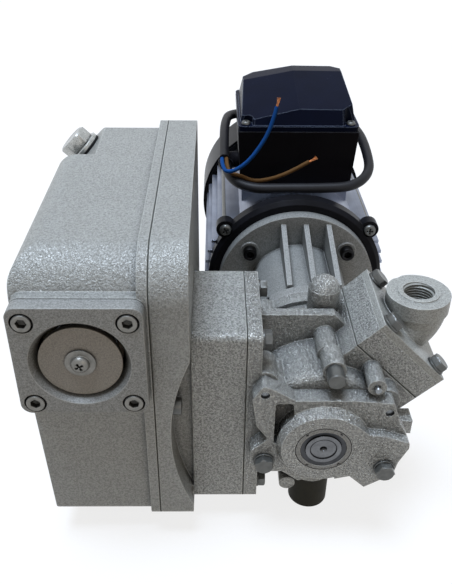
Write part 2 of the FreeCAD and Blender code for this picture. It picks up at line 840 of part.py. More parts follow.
def inlet_bolt_places():
    """Four bolts at the corners of the inlet flange: across and along."""
    return [(pad_middle + side * d.inlet_bolt_spacing / 2,
             inlet_along + end * d.inlet_bolt_pitch / 2)
            for side in (-1, 1) for end in (-1, 1)]


def pump_cylinder():
    """The pump casting: bore, flange to the block, inlet pad, web and bosses."""
    y0 = d.cylinder_front
    plate = prism("casting_plate", "YZ",
                  rim_outline(d.block_front, block_rear, d.block_bottom, block_top),
                  casting_left, casting_right, rounded=(((0, 1, 2, 3), 4.0),))
    radius = d.cylinder_radius
    rim = d.barrel_rim
    barrel = turned("casting_barrel", "Y",
                    [(0, y0), (radius - rim, y0), (radius - rim * 0.617, y0 + rim * 0.076),
                     (radius - rim * 0.293, y0 + rim * 0.293),
                     (radius - rim * 0.076, y0 + rim * 0.617), (radius, y0 + rim),
                     (radius, y0 + d.cylinder_length), (0, y0 + d.cylinder_length)],
                    (0, 0, shaft_z))
    saddle = block("casting_saddle", (casting_right - 1, d.block_front + 3, shaft_z - 34),
                   -casting_right + 1, d.block_length - 6, 62)
    web = prism("casting_web", "XZ",
                [(casting_right - 1, shaft_z + 20), (16, shaft_z + 20), (16, shaft_z + 50),
                 (8, shaft_z + 58), (casting_right - 1, shaft_z + 58)], 13, 19.5)
    post = cylinder("casting_post", "Z", (3.5, 31, shaft_z + 30), 9.5, 36)
    cap = document.addObject("Part::Sphere", "casting_post_cap")
    bind(cap, "Radius", 9.5)
    put(cap, (3.5, 31, shaft_z + 64))
    gallery = block("casting_gallery", (oil_boss_x - 4, y0 + 6, shaft_z + 25), 8, 30, 18)
    oil_boss = cylinder("casting_oil_boss", "Y", (oil_boss_x - 1.5, -6, oil_boss_z), 6.4, 20)
    side_lug = block("casting_side_lug", (30, -14, shaft_z - 10), 26, 11, 10)
    low_boss = cylinder("casting_low_boss", "Y", (-17.6, y0 - 4, shaft_z - 41), 4.8, 24)
    oil_nose = cylinder("casting_oil_nose", "Y", (oil_boss_x, oil_nose_front, oil_boss_z), 6.6, 16)
    pin_boss = cylinder("casting_pin_boss", "Y", (pin_boss_x, -28, pin_boss_z), 5.2,
                        28 + d.pad_front)
    pad = tilted("casting_pad", pad_across, d.pad_front, 20, d.pad_width, d.pad_length,
                 d.pad_face_reach - 20)
    lugs = []
    for number, (across, up) in enumerate(front_bolt_places + dowel_places):
        lugs.append(cylinder("casting_lug" + str(number), "Y", (across, y0, shaft_z + up),
                             8.0, 20))
        lugs.append(cylinder("casting_lug_root" + str(number), "Y",
                             (across * 0.8, y0, shaft_z + up * 0.8), 8.0, 22))
    for number, (across, up) in enumerate(rear_bolt_places):
        lugs.append(cylinder("casting_rear_lug" + str(number), "Y",
                             (across, cylinder_rear - 16, shaft_z + up), 8.0, 16))
    foot = cylinder("casting_foot", "Z", (0, 0, d.foot_height), d.foot_radius + 1.5, 20)
    whole = joined("casting_solid", [plate, barrel, saddle, web, post, cap, gallery, oil_boss,
                                     oil_nose, pin_boss, side_lug, low_boss, pad, foot] + lugs)
    tools = [cylinder("casting_bore", "Y", (0, y0 - 1, chamber_z), d.chamber_radius,
                      d.cylinder_length + 2)]
    tools += cutters("casting_plate", "X", block_screw_places(), casting_left - 1,
                     d.casting_flange + 2, d.screw_hole_radius)
    tools += cutters("casting_tap", "Y",
                     [(across, shaft_z + up) for across, up in front_bolt_places],
                     y0 - 1, d.bolt_engagement + 3, d.screw_radius)
    tools += cutters("casting_dowel", "Y",
                     [(across, shaft_z + up) for across, up in dowel_places], y0 - 1, 9, 2.5)
    tools += cutters("casting_rear_tap", "Y",
                     [(across, shaft_z + up) for across, up in rear_bolt_places],
                     cylinder_rear - d.bolt_engagement, d.bolt_engagement + 1, d.screw_radius)
    tools.append(cylinder("casting_foot_tap", "Z", (0, 0, d.foot_height - 1), d.screw_radius, 11))
    tools.append(cylinder("casting_oil_hole", "Y", (oil_boss_x, oil_nose_front - 1, oil_boss_z),
                          3.0, 14))
    tools.append(cylinder("casting_pin_hole", "Y", (pin_boss_x, -29, pin_boss_z), 2.0, 10))
    tools.append(tilted_bar("casting_inlet", pad_middle, inlet_along, 24,
                            d.inlet_bore_radius + 1.5, 40))
    for number, (across, along) in enumerate(inlet_bolt_places()):
        tools.append(tilted_bar("casting_inlet_tap" + str(number), across, along,
                                d.pad_face_reach - 11, d.screw_radius, 12))
    for number, height in enumerate(channel_heights):
        tools.append(cylinder("casting_port" + str(number), "X",
                              (casting_left - 1, block_middle_y, height),
                              d.block_channel_radius, d.casting_flange + 4))
    return cut("pump_cylinder", whole, tools)


def front_end_cover():
    """The front cover with its four lugs and the raised bearing hub."""
    outline = [(-41, 32), (-35, 42), (-26, 37), (-17, 31), (16, 31), (26, 30), (38, 29),
               (43, 14), (48, 5), (48, 0), (43, -11), (42, -18), (36, -24), (26, -31),
               (17, -23), (8, -25), (-12, -32), (-22, -24), (-31, -24), (-41, -18), (-41, -7),
               (-31, 2), (-38, 12)]
    corners = [(across, shaft_z + up) for across, up in outline]
    plate = prism("front_cover_plate", "XZ", corners, cover_front, d.cylinder_front,
                  rounded=(((0, 1, 6, 8, 9, 10, 18, 19, 20, 21), 3.0),))
    arm_outline = [(16, 19), (25.2, 10.8), (33.6, 10), (48.4, 4.6), (48.5, 0.6), (43.8, -10.6),
                   (42.5, -18), (36, -24.5), (26.3, -31), (16.9, -21.8), (8.4, -24), (0, 0)]
    arm = prism("front_cover_arm", "XZ", [(across, shaft_z + up) for across, up in arm_outline],
                hub_face, cover_front + 1, rounded=(((3, 4), 1.2), ((5, 6, 7), 2.0)))
    pocket = prism("front_cover_pocket", "XZ",
                   [(across, shaft_z + up) for across, up in
                    ((-28, -1), (-25.5, -1), (-24.5, 9), (-21, 15), (-17, 19), (-18, 29),
                     (-28, 29))],
                   cover_front - 1, cover_front + 7, rounded=(((5, 6), 2.0),))
    face = cone("front_cover_face", "Y", (0, hub_face, shaft_z), d.hub_radius, d.hub_radius + 3,
                cover_front - hub_face)
    seat = cylinder("front_bearing_seat", "Y", (0, hub_face - 1, shaft_z), d.bearing_radius,
                    d.bearing_width + 1.6)
    bore = cylinder("front_cover_bore", "Y", (0, hub_face, shaft_z), d.shaft_radius + 2, 30)
    tools = [seat, bore, pocket]
    tools += cutters("front_cover_bolt", "Y",
                     [(across, shaft_z + up) for across, up in front_bolt_places],
                     hub_face - 1, cover_front - hub_face + d.end_cover_thickness + 2,
                     d.screw_hole_radius)
    tools += cutters("front_cover_dowel", "Y",
                     [(across, shaft_z + up) for across, up in dowel_places],
                     cover_front - 1, d.end_cover_thickness + 2, 2.5)
    return cut("front_end_cover", joined("front_cover_solid", [plate, arm, face]), tools)


def rear_end_cover():
    """The rear cover that carries the second bearing, the shaft seal and the bell."""
    plate = cylinder("rear_cover_plate", "Y", (0, cylinder_rear, shaft_z), d.bell_front_radius,
                     d.end_cover_thickness)
    lugs = []
    for number, (across, up) in enumerate(rear_bolt_places):
        lugs.append(cylinder("rear_cover_lug" + str(number), "Y",
                             (across, cylinder_rear, shaft_z + up), 8.0, d.end_cover_thickness))
    seat = cylinder("rear_bearing_seat", "Y", (0, rear_cover_rear - d.bearing_width, shaft_z),
                    d.bearing_radius, d.bearing_width + 2)
    bore = cylinder("rear_cover_bore", "Y", (0, cylinder_rear - 1, shaft_z), d.shaft_radius + 2, 12)
    tools = [seat, bore] + cutters("rear_cover_bolt", "Y",
                                   [(across, shaft_z + up) for across, up in rear_bolt_places],
                                   cylinder_rear - 1, d.end_cover_thickness + 2,
                                   d.screw_hole_radius)
    return cut("rear_end_cover", joined("rear_cover_solid", [plate] + lugs), tools)


def dowel_pins():
    """The pins that centre the front cover, and the pin in the small boss above it."""
    pin = cylinder("dowel", "Y", (0, 0, 0), 2.5 - d.joint_gap, 16)
    places = [moved(across, cover_front + 1.5, shaft_z + up) for across, up in dowel_places]
    small = turned("boss_pin", "Y", [(0, -31), (1.6, -31), (1.95, -30.4), (1.95, -20), (0, -20)])
    return gathered("dowel_pins", [(pin, places), (small, [moved(pin_boss_x, 0, pin_boss_z)])])


def race_cut(label, at):
    """The ring of space that the balls of a bearing run in."""
    race = document.addObject("Part::Torus", label)
    race.Placement = Placement(Vector(), TURN_TO_AXIS["Y"])
    bind(race, "Radius1", (d.bearing_inner_radius + d.bearing_outer_bore) / 2)
    bind(race, "Radius2", d.ball_radius + d.joint_gap)
    return put(race, at)


def bearings():
    """The outer rings, inner rings and balls of the pump's and the motor's bearings."""
    middle = d.bearing_width / 2
    outer = turned("bearing_outer", "Y", bar(d.bearing_radius, 0, d.bearing_width,
                                             d.bearing_outer_bore))
    inner = turned("bearing_inner", "Y", bar(d.bearing_inner_radius, 0, d.bearing_width,
                                             d.shaft_radius))
    outer_ring = cut("bearing_outer_ring", outer, [race_cut("outer_race", (0, middle, 0))])
    inner_ring = cut("bearing_inner_ring", inner, [race_cut("inner_race", (0, middle, 0))])
    ball = document.addObject("Part::Sphere", "bearing_ball")
    bind(ball, "Radius", d.ball_radius)
    places = [moved(0, front, shaft_z) for front in pump_bearing_fronts]
    pitch = (float(d.bearing_inner_radius) + d.bearing_outer_bore) / 2
    ball_places = []
    for front in pump_bearing_fronts:
        for number in range(7):
            angle = 2 * math.pi * number / 7
            ball_places.append(moved(pitch * math.cos(angle), front + middle,
                                     shaft_z + pitch * math.sin(angle)))
    motor_outer = turned("motor_bearing_outer", "Y",
                         bar(d.motor_seat_radius - d.joint_gap, 0, d.motor_bearing_width, 15.4))
    motor_inner = turned("motor_bearing_inner", "Y",
                         bar(11.6, 0, d.motor_bearing_width, d.motor_shaft_radius))
    motor_ball = document.addObject("Part::Sphere", "motor_bearing_ball")
    motor_ball.Radius = 1.85
    motor_fronts = [d.bell_rear + 1, d.bell_rear + d.shield_thickness + d.stator_length + 1]
    motor_places = [moved(0, front, shaft_z) for front in motor_fronts]
    motor_ball_places = []
    for front in motor_fronts:
        for number in range(8):
            angle = math.pi / 4 * number
            motor_ball_places.append(moved(13.5 * math.cos(angle),
                                           front + d.motor_bearing_width / 2,
                                           shaft_z + 13.5 * math.sin(angle)))
    return [gathered("bearing_outer_rings", [(outer_ring, places), (motor_outer, motor_places)]),
            gathered("bearing_inner_rings", [(inner_ring, places), (motor_inner, motor_places)]),
            gathered("bearing_balls", [(ball, ball_places), (motor_ball, motor_ball_places)])]


def bearing_seals():
    """The thin rings that close the two bearings on their outer sides."""
    ring = turned("bearing_seal", "Y", bar(d.bearing_outer_bore - d.joint_gap, 0.3, 1.1,
                                           d.bearing_inner_radius + 0.25))
    places = [moved(0, pump_bearing_fronts[0], shaft_z),
              moved(0, pump_bearing_fronts[1] + d.bearing_width, shaft_z,
                    Rotation(Vector(0, 0, 1), 180))]
    return repeated("bearing_seals", ring, places)


def rotor():
    """The slotted rotor with its shaft ends in one piece."""
    start = d.cylinder_front + d.end_play
    end = cylinder_rear - d.end_play
    body = cylinder("rotor_body", "Y", (0, start, shaft_z), d.rotor_radius, end - start)
    shaft = cylinder("rotor_shaft", "Y", (0, hub_face + 0.4, shaft_z), d.shaft_radius,
                     coupling_front + 20 - hub_face)
    centre = cone("rotor_centre", "Y", (0, hub_face + 0.3, shaft_z), 2.2, 0.3, 3)
    slots = []
    for number in range(3):
        slots.append(vane_box("rotor_slot" + str(number), number, start - 1,
                              d.rotor_radius - d.vane_height - 1.5, d.vane_height + 4,
                              d.vane_thickness + 0.1, end - start + 2))
    solid = joined("rotor_solid", [body, shaft])
    return cut("rotor", solid, [centre] + slots)


def vane_box(label, number, start, inner, height, thickness, length):
    """A block in one of the three radial slots of the rotor."""
    turn = Rotation(Vector(0, 1, 0), 120.0 * number + 20)
    piece = document.addObject("Part::Box", label)
    bind(piece, "Length", thickness)
    bind(piece, "Width", length)
    bind(piece, "Height", height)
    corner = turn.multVec(Vector(-float(thickness) / 2, float(start), float(inner)))
    piece.Placement = Placement(corner + Vector(0, 0, float(shaft_z)), turn)
    return piece


def vanes():
    """Three sliding vanes, at rest fully in their slots."""
    start = d.cylinder_front + 2 * d.end_play
    end = cylinder_rear - 2 * d.end_play
    pieces = []
    for number in range(3):
        pieces.append(vane_box("vane" + str(number), number, start,
                               d.rotor_radius - d.vane_height - 0.2, d.vane_height,
                               d.vane_thickness - 0.1, end - start))
    document.recompute()
    return formed("vanes", Part.makeCompound([piece.Shape for piece in pieces]))


coupling_front = rear_cover_rear + 8
coupling_hub_length = 22.0
coupling_jaw = 10.0
coupling_radius = 19.0
spider_ring_radius = 12.5


def jaw_ring(label, start, end, inner, outer, first_angle, width_angle):
    """Three sectors round the shaft axis."""
    sectors = []
    for number in range(3):
        sector = document.addObject("Part::Cylinder", label + str(number))
        bind(sector, "Radius", outer)
        bind(sector, "Height", end - start)
        sector.Angle = width_angle
        turn = Rotation(Vector(1, 0, 0), -90).multiply(
            Rotation(Vector(0, 0, 1), first_angle + 120.0 * number))
        sector.Placement = Placement(Vector(0, float(start), float(shaft_z)), turn)
        sectors.append(sector)
    return sectors


def coupling_half(label, start, jaws_from, jaws_to, first_angle, bore):
    """One hub of the jaw coupling."""
    hub = cylinder(label + "_hub", "Y", (0, start, shaft_z), coupling_radius, coupling_hub_length)
    sectors = jaw_ring(label + "_jaw", jaws_from, jaws_to, 8, coupling_radius, first_angle, 32)
    eye = cylinder(label + "_eye", "Y", (0, jaws_from - 1, shaft_z), spider_ring_radius + 0.4,
                   coupling_jaw + 4)
    jaws = cut(label + "_jaws", joined(label + "_sectors", sectors), [eye])
    hole = cylinder(label + "_bore", "Y", (0, start - 15, shaft_z), bore, coupling_hub_length + 30)
    return cut(label, joined(label + "_solid", [hub, jaws]), [hole])


def coupling_parts():
    """The two hubs of the shaft coupling and the rubber star between their jaws."""
    pump_hub_end = coupling_front + coupling_hub_length
    motor_hub_start = pump_hub_end + coupling_jaw
    pump_half = coupling_half("pump_coupling_hub", coupling_front, pump_hub_end - 0.5,
                              motor_hub_start - 0.4, 0, d.shaft_radius)
    motor_half = coupling_half("motor_coupling_hub", motor_hub_start, pump_hub_end + 0.4,
                               motor_hub_start + 0.5, 60, d.motor_shaft_radius)
    first = pump_hub_end + 0.3
    legs = jaw_ring("spider_leg_a", first, motor_hub_start - 0.3, 0, coupling_radius - 0.5,
                    33, 26)
    legs += jaw_ring("spider_leg_b", first, motor_hub_start - 0.3, 0, coupling_radius - 0.5,
                     93, 26)
    bore = cylinder("spider_bore", "Y", (0, pump_hub_end - 1, shaft_z), 9.0, 14)
    ring = cylinder("spider_body", "Y", (0, first, shaft_z), spider_ring_radius,
                    coupling_jaw - 0.6)
    spider = cut("coupling_spider", joined("spider_solid", [ring] + legs), [bore])
    hubs = gathered("coupling_hubs", [(pump_half, [moved(0, 0, 0)]),
                                      (motor_half, [moved(0, 0, 0)])])
    return [hubs, spider]


# Inlet: body, gasket, elbow, valve and bolts.
INLET_TURN = Rotation(Vector(0, 1, 0), float(d.inlet_angle))


def inlet_point(across, along, out):
    """A point given in the inlet's tilted frame."""
    return INLET_TURN.multVec(Vector(float(across), float(along), float(out))) \
        + Vector(0, 0, float(shaft_z))


def inlet_body():
    """The valve body between the casting's pad and the elbow."""
    outer = tilted("inlet_body_block", pad_across, d.pad_front, inlet_body_out, d.pad_width,
                   d.pad_length, d.inlet_body_thickness)
    tools = [tilted_bar("inlet_body_bore", pad_middle, inlet_along, inlet_body_out - 1,
                        d.inlet_bore_radius + 1.5, 6),
             tilted_bar("inlet_body_chamber", pad_middle, inlet_along, inlet_body_out + 3,
                        15.0, 20)]
    for number, (across, along) in enumerate(inlet_bolt_places()):
        tools.append(tilted_bar("inlet_body_hole" + str(number), across, along,
                                inlet_body_out - 1, d.screw_hole_radius, 20))
    return cut("inlet_valve_body", outer, tools)


def inlet_gasket():
    """The sheet under the valve body."""
    outer = tilted("inlet_gasket_sheet", pad_across, d.pad_front, d.pad_face_reach, d.pad_width,
                   d.pad_length, d.gasket_thickness)
    tools = [tilted_bar("inlet_gasket_bore", pad_middle, inlet_along, d.pad_face_reach - 1,
                        d.inlet_bore_radius + 1.5, 4)]
    for number, (across, along) in enumerate(inlet_bolt_places()):
        tools.append(tilted_bar("inlet_gasket_hole" + str(number), across, along,
                                d.pad_face_reach - 1, d.screw_hole_radius, 4))
    return cut("inlet_gasket", outer, tools)


def inlet_elbow():
    """The inlet elbow: a flange at 45 degrees, a tapering neck and a threaded head."""
    flange = tilted("elbow_flange", pad_across, d.pad_front, inlet_face, d.pad_width,
                    d.pad_length, d.inlet_flange_thickness)
    neck_foot = inlet_point(pad_middle + 1, inlet_along, inlet_face + 1)
    head_z = d.inlet_top - d.inlet_head_height
    axis_out = INLET_TURN.multVec(Vector(0, 0, 1))
    low = Part.Wire(Part.makeCircle(float(d.inlet_neck_radius), neck_foot, axis_out))
    middle_turn = Rotation(Vector(0, 1, 0), float(d.inlet_angle) * 0.4)
    middle = (neck_foot + Vector(float(d.inlet_across), float(d.inlet_along),
                                 float(head_z) - 2)) * 0.5 + Vector(2.0, 0, 0)
    waist = Part.Wire(Part.makeCircle(float(d.inlet_neck_radius), middle,
                                      middle_turn.multVec(Vector(0, 0, 1))))
    high = Part.Wire(Part.makeCircle(float(d.inlet_head_radius) - 1,
                                     Vector(float(d.inlet_across), float(d.inlet_along),
                                            float(head_z) + 1), Vector(0, 0, 1)))
    neck = formed("elbow_neck", Part.makeLoft([low, waist, high], True, False))
    head = cylinder("elbow_head", "Z", (d.inlet_across, d.inlet_along, head_z),
                    d.inlet_head_radius, d.inlet_head_height)
    ring = cylinder("elbow_ring", "Z", (d.inlet_across, d.inlet_along, d.inlet_top - 1),
                    d.inlet_bore_radius + 2.8, 1.8)
    bore = cylinder("elbow_bore", "Z", (d.inlet_across, d.inlet_along, d.inlet_top - 16),
                    d.inlet_bore_radius, 20)
    passage = Part.makeLoft([
        Part.Wire(Part.makeCircle(11.0, inlet_point(pad_middle, inlet_along, inlet_face - 1),
                                  axis_out)),
        Part.Wire(Part.makeCircle(8.6, Vector(float(d.inlet_across), float(d.inlet_along),
                                              float(d.inlet_top) - 14), Vector(0, 0, 1)))],
        True, False)
    inner = formed("elbow_passage", passage)
    tools = [bore, inner]
    for number, (across, along) in enumerate(inlet_bolt_places()):
        tools.append(tilted_bar("elbow_hole" + str(number), across, along, inlet_face - 1,
                                d.screw_hole_radius, 7))
        tools.append(tilted_bar("elbow_spot" + str(number), across, along,
                                inlet_face + d.inlet_flange_thickness,
                                d.washer_radius + 0.6, 14))
    return cut("inlet_elbow", joined("elbow_solid", [flange, neck, head, ring]), tools)


def inlet_bolts():
    """Four hex bolts that hold the elbow and valve body to the casting."""
    bolt = hex_bolt("inlet_bolt", d.inlet_flange_thickness + d.inlet_body_thickness
                    + d.gasket_thickness + 9)
    turn = INLET_TURN.multiply(Rotation(Vector(0, 1, 0), 90))
    places = []
    for across, along in inlet_bolt_places():
        foot = inlet_point(across, along, inlet_face + d.inlet_flange_thickness)
        places.append(Placement(foot, turn))
    return repeated("inlet_bolts", bolt, places)


def inlet_valve():
    """The non-return plate, its spring and the dust screen in the valve body."""
    plate = tilted_bar("inlet_valve_plate", pad_middle, inlet_along,
                       inlet_face - d.screen_thickness - d.seat_gap - d.valve_plate_thickness,
                       d.valve_plate_radius, d.valve_plate_thickness)
    plate.Label = "inlet_valve_plate"
    screen_rim = tilted_bar("screen_rim", pad_middle, inlet_along,
                            inlet_face - d.screen_thickness, 14.7, d.screen_thickness)
    screen_holes = []
    for number in range(7):
        angle = math.pi / 3 * number
        reach = 0 if number == 6 else 8.0
        screen_holes.append(tilted_bar("screen_hole" + str(number),
                                       pad_middle + reach * math.cos(angle),
                                       inlet_along + reach * math.sin(angle), inlet_face - 3,
                                       3.0, 5))
    screen = cut("inlet_screen", screen_rim, screen_holes)
    return [plate, screen]


# Bell housing and motor.
shield_rear = d.bell_rear + d.shield_thickness
stator_rear = shield_rear + d.stator_length
rear_shield_rear = stator_rear + d.rear_shield_thickness
cowl_front = stator_rear + 4
cowl_rear = cowl_front + d.cowl_length
motor_shaft_front = coupling_front + coupling_hub_length + coupling_jaw + 1


def ring_places(radius, angles):
    """Places on a ring round the shaft axis: across and up from the floor."""
    return [(radius * math.cos(math.radians(angle)),
             shaft_z + radius * math.sin(math.radians(angle))) for angle in angles]


bell_screw_angles = [d.bell_screw_angle, 180 - d.bell_screw_angle,
                     180 + d.bell_screw_angle, 360 - d.bell_screw_angle]
tie_rod_angles = [38, 142, 218, 322]


def bell_housing():
    """The ribbed bell that joins the pump to the motor round the coupling."""
    flange_front = d.bell_rear - d.bell_flange_thickness
    neck = d.bell_neck_radius
    front_end = rear_cover_rear + d.bell_front_thickness
    profile = [(neck - d.bell_wall, rear_cover_rear), (d.bell_front_radius, rear_cover_rear),
               (d.bell_front_radius, front_end), (neck, front_end + 4),
               (neck, flange_front), (d.bell_radius, flange_front),
               (d.bell_radius, d.bell_rear), (neck - d.bell_wall, d.bell_rear)]
    shell = turned("bell_shell", "Y", profile, (0, 0, shaft_z))
    ribs = []
    top = shaft_z + d.bell_radius - 5
    for number in range(-1, 2):
        x = d.bell_rib_spacing * number + d.bell_rib_shift
        ribs.append(prism("bell_rib" + str(number + 1), "YZ",
                          [(rear_cover_rear + 14, shaft_z + neck - 12),
                           (rear_cover_rear + 14, shaft_z + neck + 4),
                           (d.bell_rear - 3, top), (d.bell_rear - 3, shaft_z + neck - 12)],
                          x - d.bell_rib_thickness / 2, x + d.bell_rib_thickness / 2))
    bosses = []
    for number, (across, up) in enumerate(ring_places(d.bell_screw_ring, bell_screw_angles)):
        bosses.append(cylinder("bell_boss" + str(number), "Y", (across, flange_front - 1, up),
                               7.0, d.bell_flange_thickness))
    clear = cylinder("bell_inside", "Y", (0, rear_cover_rear - 1, shaft_z), neck - d.bell_wall,
                     d.bell_rear - rear_cover_rear + 2)
    tools = [clear]
    tools += cutters("bell_hole", "Y", ring_places(d.bell_screw_ring, bell_screw_angles),
                     flange_front - 3, d.bell_flange_thickness + 4, d.screw_hole_radius)
    for side, x in (("left", -60.0), ("right", 30.0)):
        tools.append(block("bell_window_" + side, (x, rear_cover_rear + 18, shaft_z - 14),
                           30, 34, 26))
    tools += cutters("bell_rear_bolt_room", "Y",
                     [(across, shaft_z + up) for across, up in rear_bolt_places],
                     rear_cover_rear - 1, 8, 6.2)
    return cut("bell_housing", joined("bell_solid", [shell] + ribs + bosses), tools)


def bell_screws():
    """Four cap screws through the bell's flange into the motor shield."""
    screw = cap_screw("bell_screw", "Y", (0, 0, 0), d.bell_flange_thickness + 9)
    places = [moved(across, d.bell_rear - d.bell_flange_thickness - 1, up)
              for across, up in ring_places(d.bell_screw_ring, bell_screw_angles)]
    return repeated("bell_screws", screw, places)


def motor_front_shield():
    """The black ring at the motor's front with four lugs for the tie rods."""
    disc = turned("shield_disc", "Y",
                  [(17.5, d.bell_rear), (d.shield_radius - 3, d.bell_rear),
                   (d.shield_radius, d.bell_rear + 3), (d.shield_radius, shield_rear),
                   (17.5, shield_rear)], (0, 0, shaft_z))
    lugs = []
    for number, (across, up) in enumerate(ring_places(d.tie_rod_ring, tie_rod_angles)):
        lugs.append(cylinder("shield_lug" + str(number), "Y", (across, d.bell_rear + 3, up),
                             7.0, d.shield_thickness - 3))
    tools = cutters("shield_tap", "Y", ring_places(d.bell_screw_ring, bell_screw_angles),
                    d.bell_rear - 1, 10, d.screw_radius)
    tools += cutters("shield_rod", "Y", ring_places(d.tie_rod_ring, tie_rod_angles),
                     d.bell_rear, 20, d.tie_rod_radius + 0.2)
    tools += cutters("shield_rod_seat", "Y", ring_places(d.tie_rod_ring, tie_rod_angles),
                     d.bell_rear - 1, 4, 5.0)
    return cut("motor_front_shield", joined("shield_solid", [disc] + lugs), tools)


def stator_housing():
    """The extruded aluminium shell with fins on its sides and two feet."""
    outer = d.stator_radius
    shell = cylinder("housing_tube", "Y", (0, shield_rear, shaft_z), outer, d.stator_length)
    reach = outer + d.fin_height
    fins = []
    for side in (-1, 1):
        for number in range(-4, 6):
            z = shaft_z + d.fin_pitch * number - d.fin_thickness / 2
            half = math.sqrt(max(float(reach) ** 2 - (float(d.fin_pitch) * number) ** 2, 1.0))
            x = -half if side < 0 else 30.0
            fins.append(block("housing_fin", (x, shield_rear, z), half - 30.0, d.stator_length,
                              d.fin_thickness))
    seat = block("housing_seat", (-d.terminal_width / 2 + 4, d.terminal_front + 4,
                                  shaft_z + 40), d.terminal_width - 8, d.terminal_length - 8,
                 d.terminal_base - shaft_z - 40)
    foot = []
    for side in (-1, 1):
        x = side * d.motor_foot_spread
        foot.append(block("housing_foot", (x - 11, shield_rear + 50, d.motor_foot_height),
                          22, 30, 32))
    tools = [cylinder("housing_bore", "Y", (0, shield_rear - 1, shaft_z), d.stator_bore_radius,
                      d.stator_length + 2)]
    tools += cutters("housing_rod", "Y", ring_places(d.tie_rod_ring, tie_rod_angles),
                     shield_rear - 1, d.stator_length + 2, d.tie_rod_radius + 0.4)
    for side in (-1, 1):
        tools.append(cylinder("housing_foot_tap", "Z", (side * d.motor_foot_spread,
                                                        shield_rear + 65,
                                                        d.motor_foot_height - 1),
                              d.screw_radius, 11))
    return cut("stator_housing", joined("housing_solid", [shell, seat] + fins + foot), tools)


def motor_inside():
    """The stator core with its windings, the rotor cage and the motor shaft."""
    core_start = shield_rear + 20
    core = turned("stator_pack", "Y",
                  [(d.core_bore_radius, core_start),
                   (d.stator_bore_radius - d.joint_gap, core_start),
                   (d.stator_bore_radius - d.joint_gap, core_start + d.motor_rotor_length),
                   (d.core_bore_radius, core_start + d.motor_rotor_length)], (0, 0, shaft_z))
    winding = turned("winding_end", "Y", [(d.core_bore_radius + 3, 0),
                                          (d.stator_bore_radius - 6, 0),
                                          (d.stator_bore_radius - 9, 14),
                                          (d.core_bore_radius + 6, 14)])
    places = [moved(0, core_start + d.motor_rotor_length, shaft_z),
              moved(0, core_start, shaft_z, Rotation(Vector(0, 0, 1), 180))]
    document.recompute()
    stator = gathered("stator_core", [(core, [moved(0, 0, 0)]), (winding, places)])
    cage = turned("rotor_pack", "Y",
                  bar(d.core_bore_radius - d.air_gap, core_start,
                      core_start + d.motor_rotor_length, d.motor_shaft_radius),
                  (0, 0, shaft_z))
    shaft = turned("motor_shaft_bar", "Y",
                   [(0, motor_shaft_front), (d.motor_shaft_radius, motor_shaft_front),
                    (d.motor_shaft_radius, rear_shield_rear + 6), (7, rear_shield_rear + 6),
                    (7, rear_shield_rear + 32), (0, rear_shield_rear + 32)],
                   (0, 0, shaft_z))
    armature = gathered("motor_rotor", [(cage, [moved(0, 0, 0)]), (shaft, [moved(0, 0, 0)])])
    return [stator, armature]


def motor_rear():
    """The rear shield, the cooling fan and its cowl."""
    disc = turned("rear_shield_disc", "Y",
                  [(17.5, stator_rear), (d.shield_radius, stator_rear),
                   (d.shield_radius, stator_rear + 3),
                   (d.cowl_radius - d.cowl_wall - d.seat_gap, stator_rear + 3.5),
                   (d.cowl_radius - d.cowl_wall - d.seat_gap, stator_rear + 9),
                   (30, rear_shield_rear),
                   (17.5, rear_shield_rear)], (0, 0, shaft_z))
    lugs = []
    for number, (across, up) in enumerate(ring_places(d.tie_rod_ring, tie_rod_angles)):
        lugs.append(cylinder("rear_lug" + str(number), "Y", (across, stator_rear, up), 3.6, 3.5))
    tools = cutters("rear_rod", "Y", ring_places(d.tie_rod_ring, tie_rod_angles),
                    stator_rear - 1, 20, d.tie_rod_radius)
    shield = cut("motor_rear_shield", joined("rear_shield_solid", [disc] + lugs), tools)
    hub = turned("fan_hub", "Y", bar(16, rear_shield_rear + 7, rear_shield_rear + 30, 7),
                 (0, 0, shaft_z))
    web = turned("fan_web", "Y", bar(40, rear_shield_rear + 8, rear_shield_rear + 11, 8),
                 (0, 0, shaft_z))
    blades = []
    for number in range(8):
        turn = Rotation(Vector(0, 1, 0), 45.0 * number)
        blade = document.addObject("Part::Box", "fan_blade")
        bind(blade, "Length", 2.4)
        bind(blade, "Width", 22)
        bind(blade, "Height", d.fan_radius - 15)
        corner = turn.multVec(Vector(-1.2, float(rear_shield_rear) + 8, 15))
        blade.Placement = Placement(corner + Vector(0, 0, float(shaft_z)), turn)
        blades.append(blade)
    fan = joined("motor_fan", [hub, web] + blades)
    wall = d.cowl_wall
    cup = turned("cowl_cup", "Y",
                 [(d.cowl_radius - wall, cowl_front), (d.cowl_radius, cowl_front),
                  (d.cowl_radius, cowl_rear - 8), (d.cowl_radius - 8, cowl_rear),
                  (0, cowl_rear), (0, cowl_rear - wall), (d.cowl_radius - 8, cowl_rear - wall),
                  (d.cowl_radius - wall, cowl_rear - 8)], (0, 0, shaft_z))
    slots = []
    for row in range(-4, 5):
        up = row * 11.0
        half = math.sqrt(max((float(d.cowl_radius) - 16) ** 2 - up ** 2, 25))
        slots.append(block("cowl_slot", (-half, cowl_rear - wall - 2, shaft_z + up - 2.5),
                           2 * half, wall + 4, 5))
    cowl = cut("fan_cowl", cup, slots)
    return [shield, fan, cowl]


def tie_rods():
    """Four long pan head screws that clamp the motor's shields to its shell."""
    length = d.shield_thickness - 3 + d.stator_length + 8
    profile = [(0, -2.8), (3.2, -2.8), (4.6, -1.2), (4.6, 0),
               (d.tie_rod_radius - d.joint_gap, 0), (d.tie_rod_radius - d.joint_gap, length),
               (0, length)]
    rod = turned("tie_rod", "Y", profile)
    places = [moved(across, d.bell_rear + 3, up)
              for across, up in ring_places(d.tie_rod_ring, tie_rod_angles)]
    return repeated("tie_rods", rod, places)


